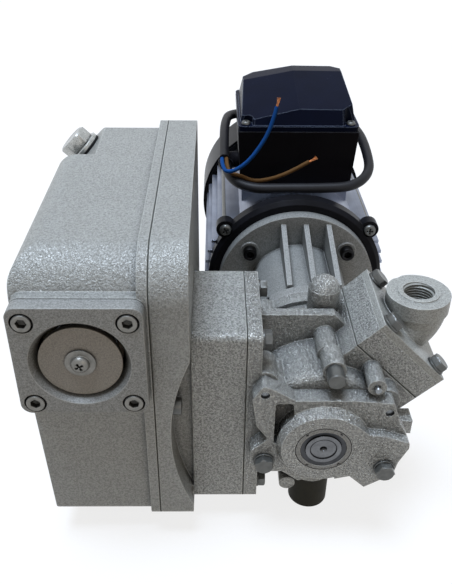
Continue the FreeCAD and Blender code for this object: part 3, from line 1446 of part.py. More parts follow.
# Terminal box and supply cable.
terminal_top = d.terminal_base + d.terminal_height
terminal_rear = d.terminal_front + d.terminal_length
lid_top = terminal_top + d.lid_height
half_width = d.terminal_width / 2
taper = d.terminal_taper
gland_along = d.terminal_front + d.gland_setback
gland_height = d.terminal_base + d.gland_rise
gland_front = gland_along - d.gland_length


def terminal_box():
    """The black box on the motor: an open tray with walls that taper to its base."""
    outer_low = rectangle(half_width - taper, d.terminal_front + taper, terminal_rear - taper,
                          d.terminal_base)
    outer_high = rectangle(half_width, d.terminal_front, terminal_rear, terminal_top)
    inset = d.terminal_wall
    inner_low = rectangle(half_width - taper - inset, d.terminal_front + taper + inset,
                          terminal_rear - taper - inset, d.terminal_base + inset)
    inner_high = rectangle(half_width - inset, d.terminal_front + inset,
                           terminal_rear - inset, terminal_top + 0.01)
    shell = Part.makeLoft([outer_low, outer_high], True, True)
    hollow = Part.makeLoft([inner_low, inner_high], True, True)
    posts = [Part.makeCylinder(4.0, float(d.terminal_height) - 0.5,
                               Vector(across, along, float(d.terminal_base) + 0.5))
             for across, along in lid_screw_places()]
    tray = shell.cut(hollow)
    for post in posts:
        tray = tray.fuse(post.common(shell))
    for across, along in lid_screw_places():
        tray = tray.cut(Part.makeCylinder(1.7, 14, Vector(across, along,
                                                           float(terminal_top) - 12)))
    gland = Part.makeCylinder(float(d.gland_radius + d.joint_gap), 12,
                              Vector(-float(half_width) - 2, float(gland_along),
                                     float(gland_height)), Vector(1, 0, 0))
    return formed("terminal_box", tray.cut(gland).removeSplitter())


def rectangle(half, front, rear, height):
    """A closed rectangle across the motor at one height."""
    corners = [Vector(-float(half), float(front), float(height)),
               Vector(float(half), float(front), float(height)),
               Vector(float(half), float(rear), float(height)),
               Vector(-float(half), float(rear), float(height))]
    return Part.makePolygon(corners + corners[:1])


def lid_screw_places():
    """The four corners where screws hold the lid."""
    inset = 6.0
    return [(side * (float(half_width) - inset), along)
            for side in (-1, 1)
            for along in (float(d.terminal_front) + inset, float(terminal_rear) - inset)]


def eight_sided(side, end, corner, corner_end, height):
    """An outline over the terminal box, set in from its sides and ends, with cut corners."""
    half = float(half_width) - side
    front = float(d.terminal_front) + end
    rear = float(terminal_rear) - end
    points = [(-half, front + corner_end), (-half + corner, front), (half - corner, front),
              (half, front + corner_end), (half, rear - corner_end), (half - corner, rear),
              (-half + corner, rear), (-half, rear - corner_end), (-half, front + corner_end)]
    return Part.makePolygon([Vector(across, along, height) for across, along in points])


def lid_form(wall, base):
    """The crown's outer form, or, for a wall above zero, the room inside it."""
    crown = float(d.lid_crown)
    low = eight_sided(2 + wall, 2 + wall, 10, 10, base)
    high = eight_sided(crown + wall, crown + 3 + wall, 7, 6, float(lid_top) - wall)
    roof = roof_space(float(d.terminal_front), float(terminal_rear), float(half_width))
    roof.translate(Vector(0, 0, -wall))
    return Part.makeLoft([low, high], True, True).cut(roof)


def terminal_lid():
    """The lid: a rim, and a hollow crown of flat facets that narrows to its top."""
    rim = prism("lid_rim", "XY",
                [(-half_width, d.terminal_front), (half_width, d.terminal_front),
                 (half_width, terminal_rear), (-half_width, terminal_rear)],
                terminal_top, terminal_top + 4, rounded=(((0, 1, 2, 3), 5.0),))
    document.recompute()
    seat_radius = 5.0
    wall = float(d.lid_wall)
    rim_low = float(terminal_top)
    room = lid_form(wall, rim_low - 1)
    solid = rim.Shape.fuse(lid_form(0, rim_low + 3.9))
    tools = []
    for across, along in lid_screw_places():
        room = room.cut(Part.makeCylinder(seat_radius + wall, 40,
                                          Vector(across, along, rim_low - 2)))
        tools.append(Part.makeCylinder(2.0, 8, Vector(across, along, rim_low - 1)))
        tools.append(Part.makeCylinder(seat_radius, 30, Vector(across, along, rim_low + 4)))
    for tool in [room] + tools:
        solid = solid.cut(tool)
    return formed("terminal_lid", solid.removeSplitter())


def roof_space(front, rear, half):
    """The space above the lid's two roof facets, which fall to the front and the left."""
    top = float(lid_top)
    low = top - float(d.lid_front_drop)
    drop = float(d.lid_side_drop)
    ridge = [Vector(0, front - 1, low), Vector(0, rear - 24, top), Vector(0, rear + 1, top)]
    solids = []
    for side, fall in ((-1, drop), (1, 0.5)):
        outer = [Vector(side * (half + 1), point.y, point.z - fall) for point in ridge]
        bottom = Part.makePolygon([ridge[0], ridge[1], outer[1], outer[0], ridge[0]])
        rear_part = Part.makePolygon([ridge[1], ridge[2], outer[2], outer[1], ridge[1]])
        for wire in (bottom, rear_part):
            for corners in facets(wire):
                solids.append(corners.extrude(Vector(0, 0, 40)))
    return solids[0].multiFuse(solids[1:])


def facets(wire):
    """The two flat triangles of a four sided wire."""
    points = [vertex.Point for vertex in wire.OrderedVertexes]
    return [Part.Face(Part.makePolygon([points[0], points[1], points[2], points[0]])),
            Part.Face(Part.makePolygon([points[0], points[2], points[3], points[0]]))]


def lid_screws():
    """Four small pan head screws of the lid."""
    profile = [(0, -11), (1.6, -11), (1.6, 0), (3.4, 0), (3.4, 1.3), (2.2, 2.3), (0, 2.3)]
    screw = turned("lid_screw", "Z", profile)
    places = [moved(across, along, terminal_top + 4) for across, along in lid_screw_places()]
    return repeated("lid_screws", screw, places)


def terminal_board():
    """The connection block inside the terminal box."""
    base = block("terminal_board_base", (-20, terminal_rear - 40, d.terminal_base + 3.0), 40,
                 24, 8)
    studs = []
    for number in range(3):
        studs.append(cylinder("terminal_stud" + str(number), "Z",
                              (-13 + 13 * number, terminal_rear - 28, d.terminal_base + 8),
                              2.0, 10))
    return joined("terminal_board", [base] + studs)


def cable_gland():
    """The elbow gland in the left wall of the terminal box; its mouth faces forward."""
    inner_end = -half_width + d.terminal_wall
    bend_x = d.gland_bend - d.gland_reach
    bend_y = gland_along - d.gland_bend
    stem = cylinder("gland_stem", "X", (bend_x, gland_along, gland_height), d.gland_radius,
                    inner_end - bend_x)
    elbow = document.addObject("Part::Torus", "gland_elbow")
    elbow.Placement = Placement(Vector(), Rotation(Vector(0, 0, 1), 90))
    bind(elbow, "Radius1", d.gland_bend)
    bind(elbow, "Radius2", d.gland_radius)
    elbow.Angle3 = 90
    put(elbow, (bend_x, bend_y, gland_height))
    nose = cone("gland_nose", "Y", (-d.gland_reach, gland_front, gland_height),
                d.gland_radius - 1.2, d.gland_radius, bend_y - gland_front)
    mouth = cylinder("gland_mouth", "Y", (-d.gland_reach, gland_front, gland_height), 2.0, 6)
    return cut("cable_gland", joined("gland_solid", [stem, elbow, nose]), [mouth])


SHEATH_ROUTE = [
    (-53.0, 197.9, 150.0), (-53.0, 177.5, 150.0), (-38.0, 160.0, 147.0), (-9.0, 160.0, 147.5),
    (17.0, 160.5, 147.5), (42.0, 162.0, 148.0), (57.5, 181.0, 151.5), (58.5, 209.0, 158.0),
    (57.0, 241.0, 162.0), (49.0, 275.0, 161.0), (14.0, 282.0, 160.0), (-20.0, 281.0, 162.0),
    (-50.0, 272.0, 166.0), (-54.0, 241.0, 168.0), (-55.0, 211.0, 166.0), (-55.0, 184.0, 161.0)]
BLUE_ROUTE = [
    (-56.7, 184.0, 161.0), (-56.7, 176.1, 159.5), (-54.3, 169.0, 156.5), (-47.0, 166.5, 158.5),
    (-38.0, 166.0, 165.5), (-30.0, 167.5, 175.5), (-23.5, 170.0, 186.0), (-19.5, 173.0, 197.0),
    (-17.5, 175.5, 204.5)]
BROWN_ROUTE = [
    (-53.3, 184.0, 161.0), (-53.3, 177.0, 159.7), (-51.0, 171.0, 154.5), (-43.5, 168.5, 154.0),
    (-33.0, 167.5, 149.5), (-21.0, 167.0, 151.5), (-9.5, 166.5, 156.0), (1.5, 168.0, 161.5),
    (8.0, 169.0, 165.0)]


def routed(label, route, radius):
    """A round cord along straight runs joined by arcs that touch them."""
    points = [Vector(*point) for point in route]
    edges = []
    start = points[0]
    length = 0.0
    radii = []
    for index in range(1, len(points) - 1):
        corner = points[index]
        before = points[index - 1] - corner
        after = points[index + 1] - corner
        turn = math.pi - before.getAngle(after)
        reach = 0.45 * min(before.Length, after.Length)
        bend = reach / math.tan(turn / 2)
        radii.append(round(bend, 1))
        enter = corner + before.normalize() * reach
        leave = corner + after.normalize() * reach
        inward = (before + after).normalize()
        centre = corner + inward * (bend / math.cos(turn / 2))
        middle = centre - inward * bend
        edges.append(Part.LineSegment(start, enter).toShape())
        edges.append(Part.Arc(enter, middle, leave).toShape())
        length += (enter - start).Length + bend * turn
        start = leave
    edges.append(Part.LineSegment(start, points[-1]).toShape())
    length += (points[-1] - start).Length
    path = Part.Wire(edges)
    first = points[1] - points[0]
    section = Part.Wire(Part.makeCircle(float(radius), points[0], first))
    cord = path.makePipeShell([section], True, False)
    expected = math.pi * float(radius) ** 2 * length
    print(label, "length", round(length, 1), "bends", radii, "volume share",
          round(cord.Volume / expected, 4))
    return formed(label, cord)


def supply_cable():
    """The sheathed cable round the terminal box and its two bare cores."""
    return [routed("power_cable", SHEATH_ROUTE, d.sheath_radius),
            routed("blue_core", BLUE_ROUTE, d.core_radius),
            routed("brown_core", BROWN_ROUTE, d.core_radius)]


# Small parts of the box.
def exhaust_plate():
    """The square plate with a tapered mouth and four sunk screws."""
    half = d.plate_size / 2
    outer = prism("plate_outer", "XZ",
                  [(plate_x - half, plate_z - half), (plate_x + half, plate_z - half),
                   (plate_x + half, plate_z + half), (plate_x - half, plate_z + half)],
                  plate_front, plate_rear,
                  rounded=(((0, 1, 2, 3), d.plate_corner_round),))
    spread = d.plate_screw_spacing / 2
    places = [(plate_x + side * spread, mouth_z + up * spread)
              for side in (-1, 1) for up in (-1, 1)]
    mouth = cone("plate_mouth", "Y", (plate_x, plate_front - 0.01, mouth_z),
                 d.exhaust_mouth_radius, d.exhaust_throat_radius, d.mouth_depth)
    throat = cylinder("plate_throat", "Y", (plate_x, plate_front, mouth_z),
                      d.exhaust_throat_radius, d.plate_thickness + 2)
    tools = [mouth, throat]
    tools += cutters("plate_hole", "Y", places, plate_front - 1, d.plate_thickness + 2,
                     d.screw_hole_radius)
    tools += cutters("plate_sink", "Y", places, plate_front - 1, 1 + d.cap_head_height - 0.8,
                     d.cap_head_radius + 0.9)
    return cut("exhaust_plate", outer, tools)


def plate_gasket():
    """The sheet between the plate and the box."""
    half = d.plate_size / 2
    outer = prism("plate_gasket_sheet", "XZ",
                  [(plate_x - half, plate_z - half), (plate_x + half, plate_z - half),
                   (plate_x + half, plate_z + half), (plate_x - half, plate_z + half)],
                  plate_rear, plate_pad_front,
                  rounded=(((0, 1, 2, 3), d.plate_corner_round),))
    spread = d.plate_screw_spacing / 2
    places = [(plate_x + side * spread, mouth_z + up * spread)
              for side in (-1, 1) for up in (-1, 1)]
    tools = cutters("plate_gasket", "Y", places, plate_rear - 1, 4, d.screw_hole_radius)
    tools.append(cylinder("plate_gasket_mouth", "Y", (plate_x, plate_rear - 1, mouth_z),
                          d.exhaust_throat_radius + 1.5, 4))
    return cut("plate_gasket", outer, tools)


def plate_screws():
    """The four socket head screws of the exhaust plate."""
    screw = cap_screw("plate_screw", "Y", (0, 0, 0), 14)
    spread = d.plate_screw_spacing / 2
    seat = plate_front + d.cap_head_height - 0.8
    places = [moved(plate_x + side * spread, seat, mouth_z + up * spread)
              for side in (-1, 1) for up in (-1, 1)]
    return repeated("plate_screws", screw, places)


def exhaust_disc():
    """The round deflector disc in the mouth, its screw, and the filter behind it."""
    disc_front = plate_front + d.disc_recess
    disc = turned("deflector_disc", "Y", bar(d.disc_radius, disc_front,
                                             disc_front + d.disc_thickness, d.screw_radius),
                  (plate_x, 0, mouth_z))
    screw = turned("disc_screw", "Y",
                   [(0, disc_front - 4.4), (3.0, disc_front - 4.2), (4.6, disc_front - 2.6),
                    (4.9, disc_front - 1.2), (8.0, disc_front - 1.2), (8.0, disc_front),
                    (d.screw_radius - d.joint_gap, disc_front),
                    (d.screw_radius - d.joint_gap, disc_front + 12), (0, disc_front + 12)],
                   (plate_x, 0, mouth_z))
    spring_front = disc_front + d.disc_thickness
    spring = spring_rings("filter_spring", 17.0, 1.0, (plate_x, spring_front + 1.3, mouth_z),
                          (filter_front - spring_front - 2.6) / 2)
    cartridge = turned("exhaust_filter", "Y",
                       [(0, filter_front), (20.5, filter_front),
                        (20.5, filter_front + 8), (d.filter_radius, filter_front + 8),
                        (d.filter_radius, filter_front + d.filter_length),
                        (d.filter_bore_radius, filter_front + d.filter_length),
                        (d.filter_bore_radius, filter_front + 4), (0, filter_front + 4)],
                       (plate_x, 0, mouth_z))
    return [disc, screw, spring, cartridge]


def spring_rings(label, radius, wire, first, pitch):
    """A wire spring along Y, simplified to three rings that short links join."""
    x, y, z = first
    pieces = []
    for number in range(3):
        ring = document.addObject("Part::Torus", label + "_ring" + str(number))
        ring.Placement = Placement(Vector(), TURN_TO_AXIS["Y"])
        bind(ring, "Radius1", radius)
        bind(ring, "Radius2", wire)
        pieces.append(put(ring, (x, y + pitch * number, z)))
    for number, side in ((0, -1), (1, 1)):
        pieces.append(cylinder(label + "_link" + str(number), "Y",
                               (x + side * radius, y + pitch * number, z), wire * 0.9, pitch))
    return joined(label, pieces)


def filler_plug():
    """The hex oil filler plug on the slanted corner of the box, with its seal."""
    seat = Vector(float(box_left + d.notch_depth / 2), float(filler_y),
                  float(box_top - d.notch_drop / 2))
    turn = Rotation(Vector(0, 1, 0), -math.degrees(math.atan2(float(d.notch_drop),
                                                               float(d.notch_depth))))
    place = Placement(seat, turn)
    ring = Part.makeCylinder(13.0, 1.5).cut(Part.makeCylinder(10.6, 1.5))
    seal = formed("filler_seal", ring, place)
    hexagon = Part.makePolygon([Vector(11.0 * math.cos(math.pi / 3 * n),
                                       11.0 * math.sin(math.pi / 3 * n), 0)
                                for n in range(7)])
    head = Part.Face(hexagon).extrude(Vector(0, 0, 9)).translated(Vector(0, 0, 4.5))
    flange = Part.makeCylinder(13.0, 3.0).translated(Vector(0, 0, 1.5))
    stem = Part.makeCylinder(float(d.filler_radius) - 0.05, 8.5).translated(Vector(0, 0, -6))
    plug = formed("oil_filler_plug", head.fuse([flange, stem]).removeSplitter(), place)
    return [plug, seal]


def drain_and_glass():
    """The oil drain plug and the oil sight glass on the rear wall of the box."""
    drain = turned("drain_turned", "Y", bar(d.drain_radius - 0.05, -5, 0) , (0, 0, 0))
    head = document.addObject("Part::Prism", "drain_head")
    head.Polygon = 6
    head.Circumradius = 9.5
    head.Height = 6
    head.Placement = Placement(Vector(), TURN_TO_AXIS["Y"])
    drain_plug = joined("oil_drain_plug", [drain, head])
    put(drain_plug, (drain_x, box_rear, drain_z))
    ring = turned("sight_glass_ring", "Y",
                  [(8.0, -4), (d.glass_radius - 0.05, -4), (d.glass_radius - 0.05, 0), (14, 0),
                   (14, 4), (8.0, 4)], (drain_x, box_rear, glass_z))
    lens = turned("sight_glass_lens", "Y", bar(7.95, -3, 2), (drain_x, box_rear, glass_z))
    return [drain_plug, ring, lens]


def oil_float():
    """The float that lets oil back to the pump: its lever and ball."""
    x, y, z = float_pivot
    lever = cut("float_lever_bar", joined("float_lever_solid", [
        cylinder("float_eye", "X", (x - 1.2, y, z), 2.8, 2.4),
        block("float_rod", (x - 1.2, y + 1, z - 1.2), 2.4, 36, 2.4),
        ball_at("float_ball", (x, y + 45, z), 12.0)]),
        [cylinder("float_eye_bore", "X", (x - 4, y, z), 1.25, 8)])
    lever.Label = "float_lever"
    return [lever]


def ball_at(label, at, radius):
    """A ball at three coordinates."""
    piece = document.addObject("Part::Sphere", label)
    bind(piece, "Radius", radius)
    return put(piece, at)


def exhaust_valve():
    """The reed that covers the upper exhaust port of the casting."""
    reed = block("exhaust_reed", (casting_left - d.joint_gap - 0.4, block_middle_y - 12, reed_low),
                 0.4, 24, reed_height)
    return [reed]


def nozzle_plug():
    """The round headed plug in the end of the oil boss."""
    plug = turned("nozzle_plug", "Y", [(0, -9.5), (4.4, -9.5), (5.0, -8.7), (5.0, 0), (2.95, 0),
                                       (2.95, 11), (0, 11)],
                  (oil_boss_x, oil_nose_front, oil_boss_z))
    return [plug]


def feet():
    """The rubber feet: one under the pump, two under the box and two under the motor."""
    front = turned("front_foot", "Z", [(0, 0), (d.foot_radius, 0), (d.foot_radius, d.foot_height),
                                       (0, d.foot_height)])
    stud = cylinder("foot_stud", "Z", (0, 0, d.foot_height - 0.5), d.screw_radius - d.joint_gap, 9)
    front_foot = joined("front_foot_solid", [front, stud])
    front_foot.Label = "front_rubber_foot"
    box_foot = joined("box_foot", [
        cylinder("box_foot_rubber", "Z", (0, 0, 0), 12.0, d.box_bottom),
        cylinder("box_foot_stud", "Z", (0, 0, d.box_bottom - 0.5), d.screw_radius - d.joint_gap,
                 9)])
    motor_foot = joined("motor_foot", [
        cylinder("motor_foot_rubber", "Z", (0, 0, 0), 10.0, d.motor_foot_height),
        cylinder("motor_foot_stud", "Z", (0, 0, d.motor_foot_height - 0.5),
                 d.screw_radius - d.joint_gap, 9)])
    rear_feet = gathered("rear_rubber_feet", [
        (box_foot, [moved(x, y, 0) for x, y in box_foot_places]),
        (motor_foot, [moved(side * d.motor_foot_spread, shield_rear + 65, 0)
                      for side in (-1, 1)])])
    return [front_foot, rear_feet]


def main():
    """Build every sub-part, check it and write it to its file."""
    nodes = [exhaust_box(), box_gasket(), box_cover(), box_cover_screws(), exhaust_plate(),
             plate_gasket(), plate_screws()]
    nodes += exhaust_disc() + filler_plug() + drain_and_glass() + oil_float()
    nodes += [transfer_block(), block_gasket(), casting_bolts(), pump_cylinder(),
              front_end_cover(), rear_end_cover(), dowel_pins(), bearing_seals(), rotor(),
              vanes()]
    nodes += bearings() + coupling_parts() + exhaust_valve() + nozzle_plug()
    nodes += [inlet_body(), inlet_gasket(), inlet_elbow(), inlet_bolts()] + inlet_valve()
    nodes += [bell_housing(), bell_screws(), motor_front_shield(), stator_housing(), tie_rods()]
    nodes += motor_inside() + motor_rear()
    nodes += [terminal_box(), terminal_lid(), lid_screws(), terminal_board(), cable_gland()]
    nodes += feet() + supply_cable()
    document.recompute()
    for piece in document.Objects:
        if "Invalid" in piece.State or "Error" in piece.State:
            raise ValueError("failed: " + piece.Label + " " + str(piece.State))
    os.makedirs("parts", exist_ok=True)
    for piece in nodes:
        if piece.Shape.isNull() or not piece.Shape.isValid():
            raise ValueError("bad shape: " + piece.Label)
        count = len(piece.Shape.Solids)
        print(piece.Label, count, "solids", round(piece.Shape.Volume / 1000, 2), "cm3")
        piece.Shape.exportStep("parts/" + piece.Label + ".step")
    print(len(nodes), "nodes")


main()
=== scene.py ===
"""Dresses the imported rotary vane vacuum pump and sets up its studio."""

import json
import math

import bmesh
import bpy
from mathutils import Matrix, Vector


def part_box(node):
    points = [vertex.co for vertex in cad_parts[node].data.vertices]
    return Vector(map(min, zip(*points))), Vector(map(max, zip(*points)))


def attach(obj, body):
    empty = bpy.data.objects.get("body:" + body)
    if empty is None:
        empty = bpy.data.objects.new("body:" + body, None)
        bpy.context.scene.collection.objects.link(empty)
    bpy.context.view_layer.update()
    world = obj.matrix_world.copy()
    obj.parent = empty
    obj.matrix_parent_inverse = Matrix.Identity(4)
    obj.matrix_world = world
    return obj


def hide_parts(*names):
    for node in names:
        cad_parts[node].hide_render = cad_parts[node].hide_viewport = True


bl_info = {
    "name": "Rotary vane vacuum pump",
    "version": (1, 0, 0),
    "blender": (4, 5, 0),
    "location": "View3D > Sidebar > Vacuum Pump",
    "description": "Dresses the packed vacuum pump model with finishes, fasteners and cords",
    "category": "Object",
}

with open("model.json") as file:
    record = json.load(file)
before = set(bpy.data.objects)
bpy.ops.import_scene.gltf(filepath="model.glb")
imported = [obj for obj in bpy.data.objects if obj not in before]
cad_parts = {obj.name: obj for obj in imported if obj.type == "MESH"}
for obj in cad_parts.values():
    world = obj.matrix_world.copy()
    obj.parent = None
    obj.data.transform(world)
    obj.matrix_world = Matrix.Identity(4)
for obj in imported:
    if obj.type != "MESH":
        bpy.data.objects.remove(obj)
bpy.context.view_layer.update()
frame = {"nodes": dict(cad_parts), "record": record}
NODES = frame["nodes"]
MM = 0.001
FRAME_BODY = "pump_frame"
SHAFT_Z = 78 * MM
TO_RIGHT = Vector((1, 0, 0))
TO_FRONT = Vector((0, -1, 0))
TO_REAR = Vector((0, 1, 0))
UPWARD = Vector((0, 0, 1))
INLET_OUT = Vector((math.sqrt(0.5), 0.0, math.sqrt(0.5)))
# Points of a turned ring, and the radius that stands for its centre.
ROUND = 36
CENTRE = 0.01 * MM
# M6 fasteners.
SHANK_RADIUS = 2.95 * MM
CAP_HEAD_RADIUS = 5 * MM
CAP_HEAD_HEIGHT = 6 * MM
HEX_ACROSS = 10 * MM
HEX_HEAD_HEIGHT = 4.2 * MM
WASHER_RADIUS = 6 * MM
WASHER_THICKNESS = 1.4 * MM
# The cable and its cores.
SHEATH_RADIUS = 3.8 * MM
CORE_RADIUS = 1.5 * MM
# Pixels on the photograph's long side, and the film that stands for them.
PHOTO_HEIGHT = 584
FILM_SIZE = 36.0


class PumpFinishes(bpy.types.PropertyGroup):
    """Colours of the pump's finishes, as sRGB hex values."""

    cast_paint: bpy.props.StringProperty(
        name="Cast paint", description="Hammered paint on the castings", default="#92938f")
    smooth_paint: bpy.props.StringProperty(
        name="Smooth paint", description="Paint on the inlet elbow and its thread",
        default="#999a95")
    zinc: bpy.props.StringProperty(
        name="Zinc", description="Zinc plating on the bolts", default="#656664")
    black_steel: bpy.props.StringProperty(
        name="Black oxide", description="Blackened socket screws", default="#2a2a2b")
    shield_paint: bpy.props.StringProperty(
        name="Black paint", description="Paint on the motor's end shields", default="#131315")
    plastic: bpy.props.StringProperty(
        name="Black plastic", description="Lid of the terminal box", default="#0b101f")
    aluminium: bpy.props.StringProperty(
        name="Aluminium", description="Finned motor shell", default="#959dae")
    rubber: bpy.props.StringProperty(
        name="Foot rubber", description="Rubber feet", default="#26251f")
    sheath: bpy.props.StringProperty(
        name="Cable sheath", description="Outer sheath of the cable", default="#131316")
    blue: bpy.props.StringProperty(
        name="Blue core", description="Insulation of the blue core", default="#173f74")
    brown: bpy.props.StringProperty(
        name="Brown core", description="Insulation of the brown core", default="#584027")


class PumpSizes(bpy.types.PropertyGroup):
    """Sizes of the fine pieces that the scene adds, in metres."""

    socket_across: bpy.props.FloatProperty(
        name="Socket width", description="Across flats of the screws' hex sockets",
        default=5 * MM, unit="LENGTH")
    thread_pitch: bpy.props.FloatProperty(
        name="Thread pitch", description="Pitch of the inlet's pipe thread",
        default=1.814 * MM, unit="LENGTH")
    strand_count: bpy.props.IntProperty(
        name="Strands", description="Copper strands at each core's bare end", default=9)


class PumpStudio(bpy.types.PropertyGroup):
    """Camera and lamps."""

    camera_place: bpy.props.FloatVectorProperty(
        name="Camera", description="Camera position", default=(-0.061, -0.320, 0.3716),
        subtype="TRANSLATION", unit="LENGTH")
    focal_pixels: bpy.props.FloatProperty(
        name="Focal length", description="Focal length in pixels of the frame", default=704.11)
    pitch: bpy.props.FloatProperty(
        name="Pitch", description="Angle below the horizon", default=0.5833, subtype="ANGLE")
    yaw: bpy.props.FloatProperty(
        name="Yaw", description="Angle to the right of +Y", default=-0.0168, subtype="ANGLE")
    roll: bpy.props.FloatProperty(
        name="Roll", description="Turn about the view axis", default=0.011, subtype="ANGLE")
    key_power: bpy.props.FloatProperty(
        name="Key light", description="Strength of the window light from above", default=4.1)
    fill_power: bpy.props.FloatProperty(
        name="Fill lamp", description="Power of the lamp beside the camera", default=1.15,
        unit="POWER")
    world_level: bpy.props.FloatProperty(
        name="World level", description="Brightness of the room's even light", default=0.35)


def finishes():
    """The finishes set in the panel."""
    return bpy.context.scene.pump_finishes


def sizes():
    """The fine sizes set in the panel."""
    return bpy.context.scene.pump_sizes


def studio():
    """The camera and lamp values set in the panel."""
    return bpy.context.scene.pump_studio


def linear(text):
    """An sRGB hex value as a linear colour with full opacity."""
    channels = [int(text[place:place + 2], 16) / 255 for place in (1, 3, 5)]
    return tuple([value / 12.92 if value <= 0.04045 else ((value + 0.055) / 1.055) ** 2.4
                  for value in channels] + [1.0])


def shaded(text, factor):
    """The same hex colour, made lighter or darker."""
    levels = [min(255, round(int(text[place:place + 2], 16) * factor)) for place in (1, 3, 5)]
    return "#%02x%02x%02x" % tuple(levels)


# Node trees.
def add_node(tree, kind, settings=None, values=None, links=None, stops=()):
    """Add a node, set its properties, input values and ramp stops, and link its inputs."""
    node = tree.nodes.new(kind)
    for name, value in (settings or {}).items():
        setattr(node, name, value)
    for name, value in (values or {}).items():
        node.inputs[name].default_value = value
    for name, source in (links or {}).items():
        tree.links.new(source, node.inputs[name])
    if stops:
        elements = node.color_ramp.elements
        while len(elements) < len(stops):
            elements.new(0.5)
        for element, (position, colour) in zip(elements, stops):
            element.position = position
            element.color = colour
    return node


def new_material(name):
    """An empty node material, its node tree, and the object coordinates in metres."""
    material = bpy.data.materials.new(name)
    material.use_nodes = True
    tree = material.node_tree
    tree.nodes.clear()
    return material, tree, add_node(tree, "ShaderNodeTexCoord").outputs["Object"]


def per_mm(size):
    """The noise scale whose grains are this many millimetres across."""
    return 1 / (size * MM)


def grey(level):
    """A linear grey with full opacity."""
    return (level, level, level, 1.0)


def painted_shade_in_corners(tree, base, reach, floor):
    """Painted shade: a colour that falls to a share of itself where walls meet within so many
    millimetres.
    """
    shelter = add_node(tree, "ShaderNodeAmbientOcclusion", settings={"samples": 6},
                       values={"Distance": reach * MM}).outputs["AO"]
    share = add_node(tree, "ShaderNodeValToRGB", links={"Fac": shelter},
                     stops=[(0.25, grey(floor)), (0.85, grey(1.0))]).outputs["Color"]
    return add_node(tree, "ShaderNodeMix",
                    settings={"data_type": "RGBA", "blend_type": "MULTIPLY"},
                    values={"Factor": 1.0}, links={"A": base, "B": share}).outputs["Result"]


def sheen_and_wear_on_edges(tree, base, edge_sheen_and_wear, radius, most=1.0):
    """A colour that gives way to another where an edge turns within so many millimetres: a painted
    highlight, partly wear.
    """
    flat = add_node(tree, "ShaderNodeNewGeometry").outputs["True Normal"]
    rounded = add_node(tree, "ShaderNodeBevel", settings={"samples": 4},
                       values={"Radius": radius * MM}).outputs["Normal"]
    turned = add_node(tree, "ShaderNodeVectorMath", settings={"operation": "DOT_PRODUCT"},
                      links={0: flat, 1: rounded}).outputs["Value"]
    share = add_node(tree, "ShaderNodeValToRGB", links={"Fac": turned},
                     stops=[(0.90, grey(most)), (0.99, grey(0.0))]).outputs["Color"]
    return add_node(tree, "ShaderNodeMix", settings={"data_type": "RGBA"},
                    values={"B": linear(edge_sheen_and_wear)},
                    links={"Factor": share, "A": base}).outputs["Result"]


def relief_on_round_edges(tree, height, depth, strength, radius):
    """Normals of a relief of a depth, over edges of a radius, both in millimetres."""
    rounded = add_node(tree, "ShaderNodeBevel", settings={"samples": 4},
                       values={"Radius": radius * MM}).outputs["Normal"]
    return add_node(tree, "ShaderNodeBump", values={"Strength": strength, "Distance": depth * MM},
                    links={"Height": height, "Normal": rounded}).outputs["Normal"]


def hammered_cast_paint(name, colour, grain, depth, dark, gloss=0.42, metal=0.2, reach=6.0):
    """Aluminium pigment paint sprayed on a sand casting.

    The flakes give a soft metal glow, the skin of the mould shows as grains that catch the light
    one by one, edges get a painted highlight that is partly worn paint, and painted shade darkens
    the paint where walls meet.
    """
    material, tree, place = new_material(name)
    skin = add_node(tree, "ShaderNodeTexNoise", links={"Vector": place},
                    values={"Scale": per_mm(grain), "Detail": 2.0, "Roughness": 0.55,
                            "Distortion": 0.9}).outputs["Fac"]
    swell = add_node(tree, "ShaderNodeTexNoise", links={"Vector": place},
                     values={"Scale": per_mm(grain * 5.0), "Detail": 2.0}).outputs["Fac"]
    height = add_node(tree, "ShaderNodeMath", settings={"operation": "MULTIPLY_ADD"},
                      values={1: 0.5}, links={0: swell, 2: skin}).outputs["Value"]
    tint = add_node(tree, "ShaderNodeValToRGB", links={"Fac": skin}, stops=[
        (0.40, linear(shaded(colour, dark))), (0.50, linear(colour)),
        (0.60, linear(shaded(colour, 1 + 0.7 * (1 - dark))))]).outputs["Color"]
    cloud = add_node(tree, "ShaderNodeTexNoise", links={"Vector": place},
                     values={"Scale": per_mm(38.0), "Detail": 2.0}).outputs["Fac"]
    haze = add_node(tree, "ShaderNodeValToRGB", links={"Fac": cloud},
                    stops=[(0.3, grey(0.94)), (0.7, grey(1.0))]).outputs["Color"]
    hazy = add_node(tree, "ShaderNodeMix", settings={"data_type": "RGBA", "blend_type": "MULTIPLY"},
                    values={"Factor": 1.0}, links={"A": tint, "B": haze}).outputs["Result"]
    # Painted shade: the paint is darkened where walls meet.
    corner_shaded = painted_shade_in_corners(tree, hazy, reach, floor=0.16)
    # Painted highlight, partly worn paint: edges take a lighter copy of the paint.
    base = sheen_and_wear_on_edges(tree, corner_shaded, shaded(colour, 1.5), radius=1.1, most=0.5)
    shine = add_node(tree, "ShaderNodeValToRGB", links={"Fac": skin},
                     stops=[(0.3, grey(gloss * 1.4)), (0.7, grey(gloss))]).outputs["Color"]
    normal = relief_on_round_edges(tree, height, depth, strength=1.0, radius=1.1)
    shader = add_node(tree, "ShaderNodeBsdfPrincipled",
                      values={"Metallic": metal, "Specular IOR Level": 0.7},
                      links={"Base Color": base, "Roughness": shine, "Normal": normal})
    add_node(tree, "ShaderNodeOutputMaterial", links={"Surface": shader.outputs["BSDF"]})
    return material


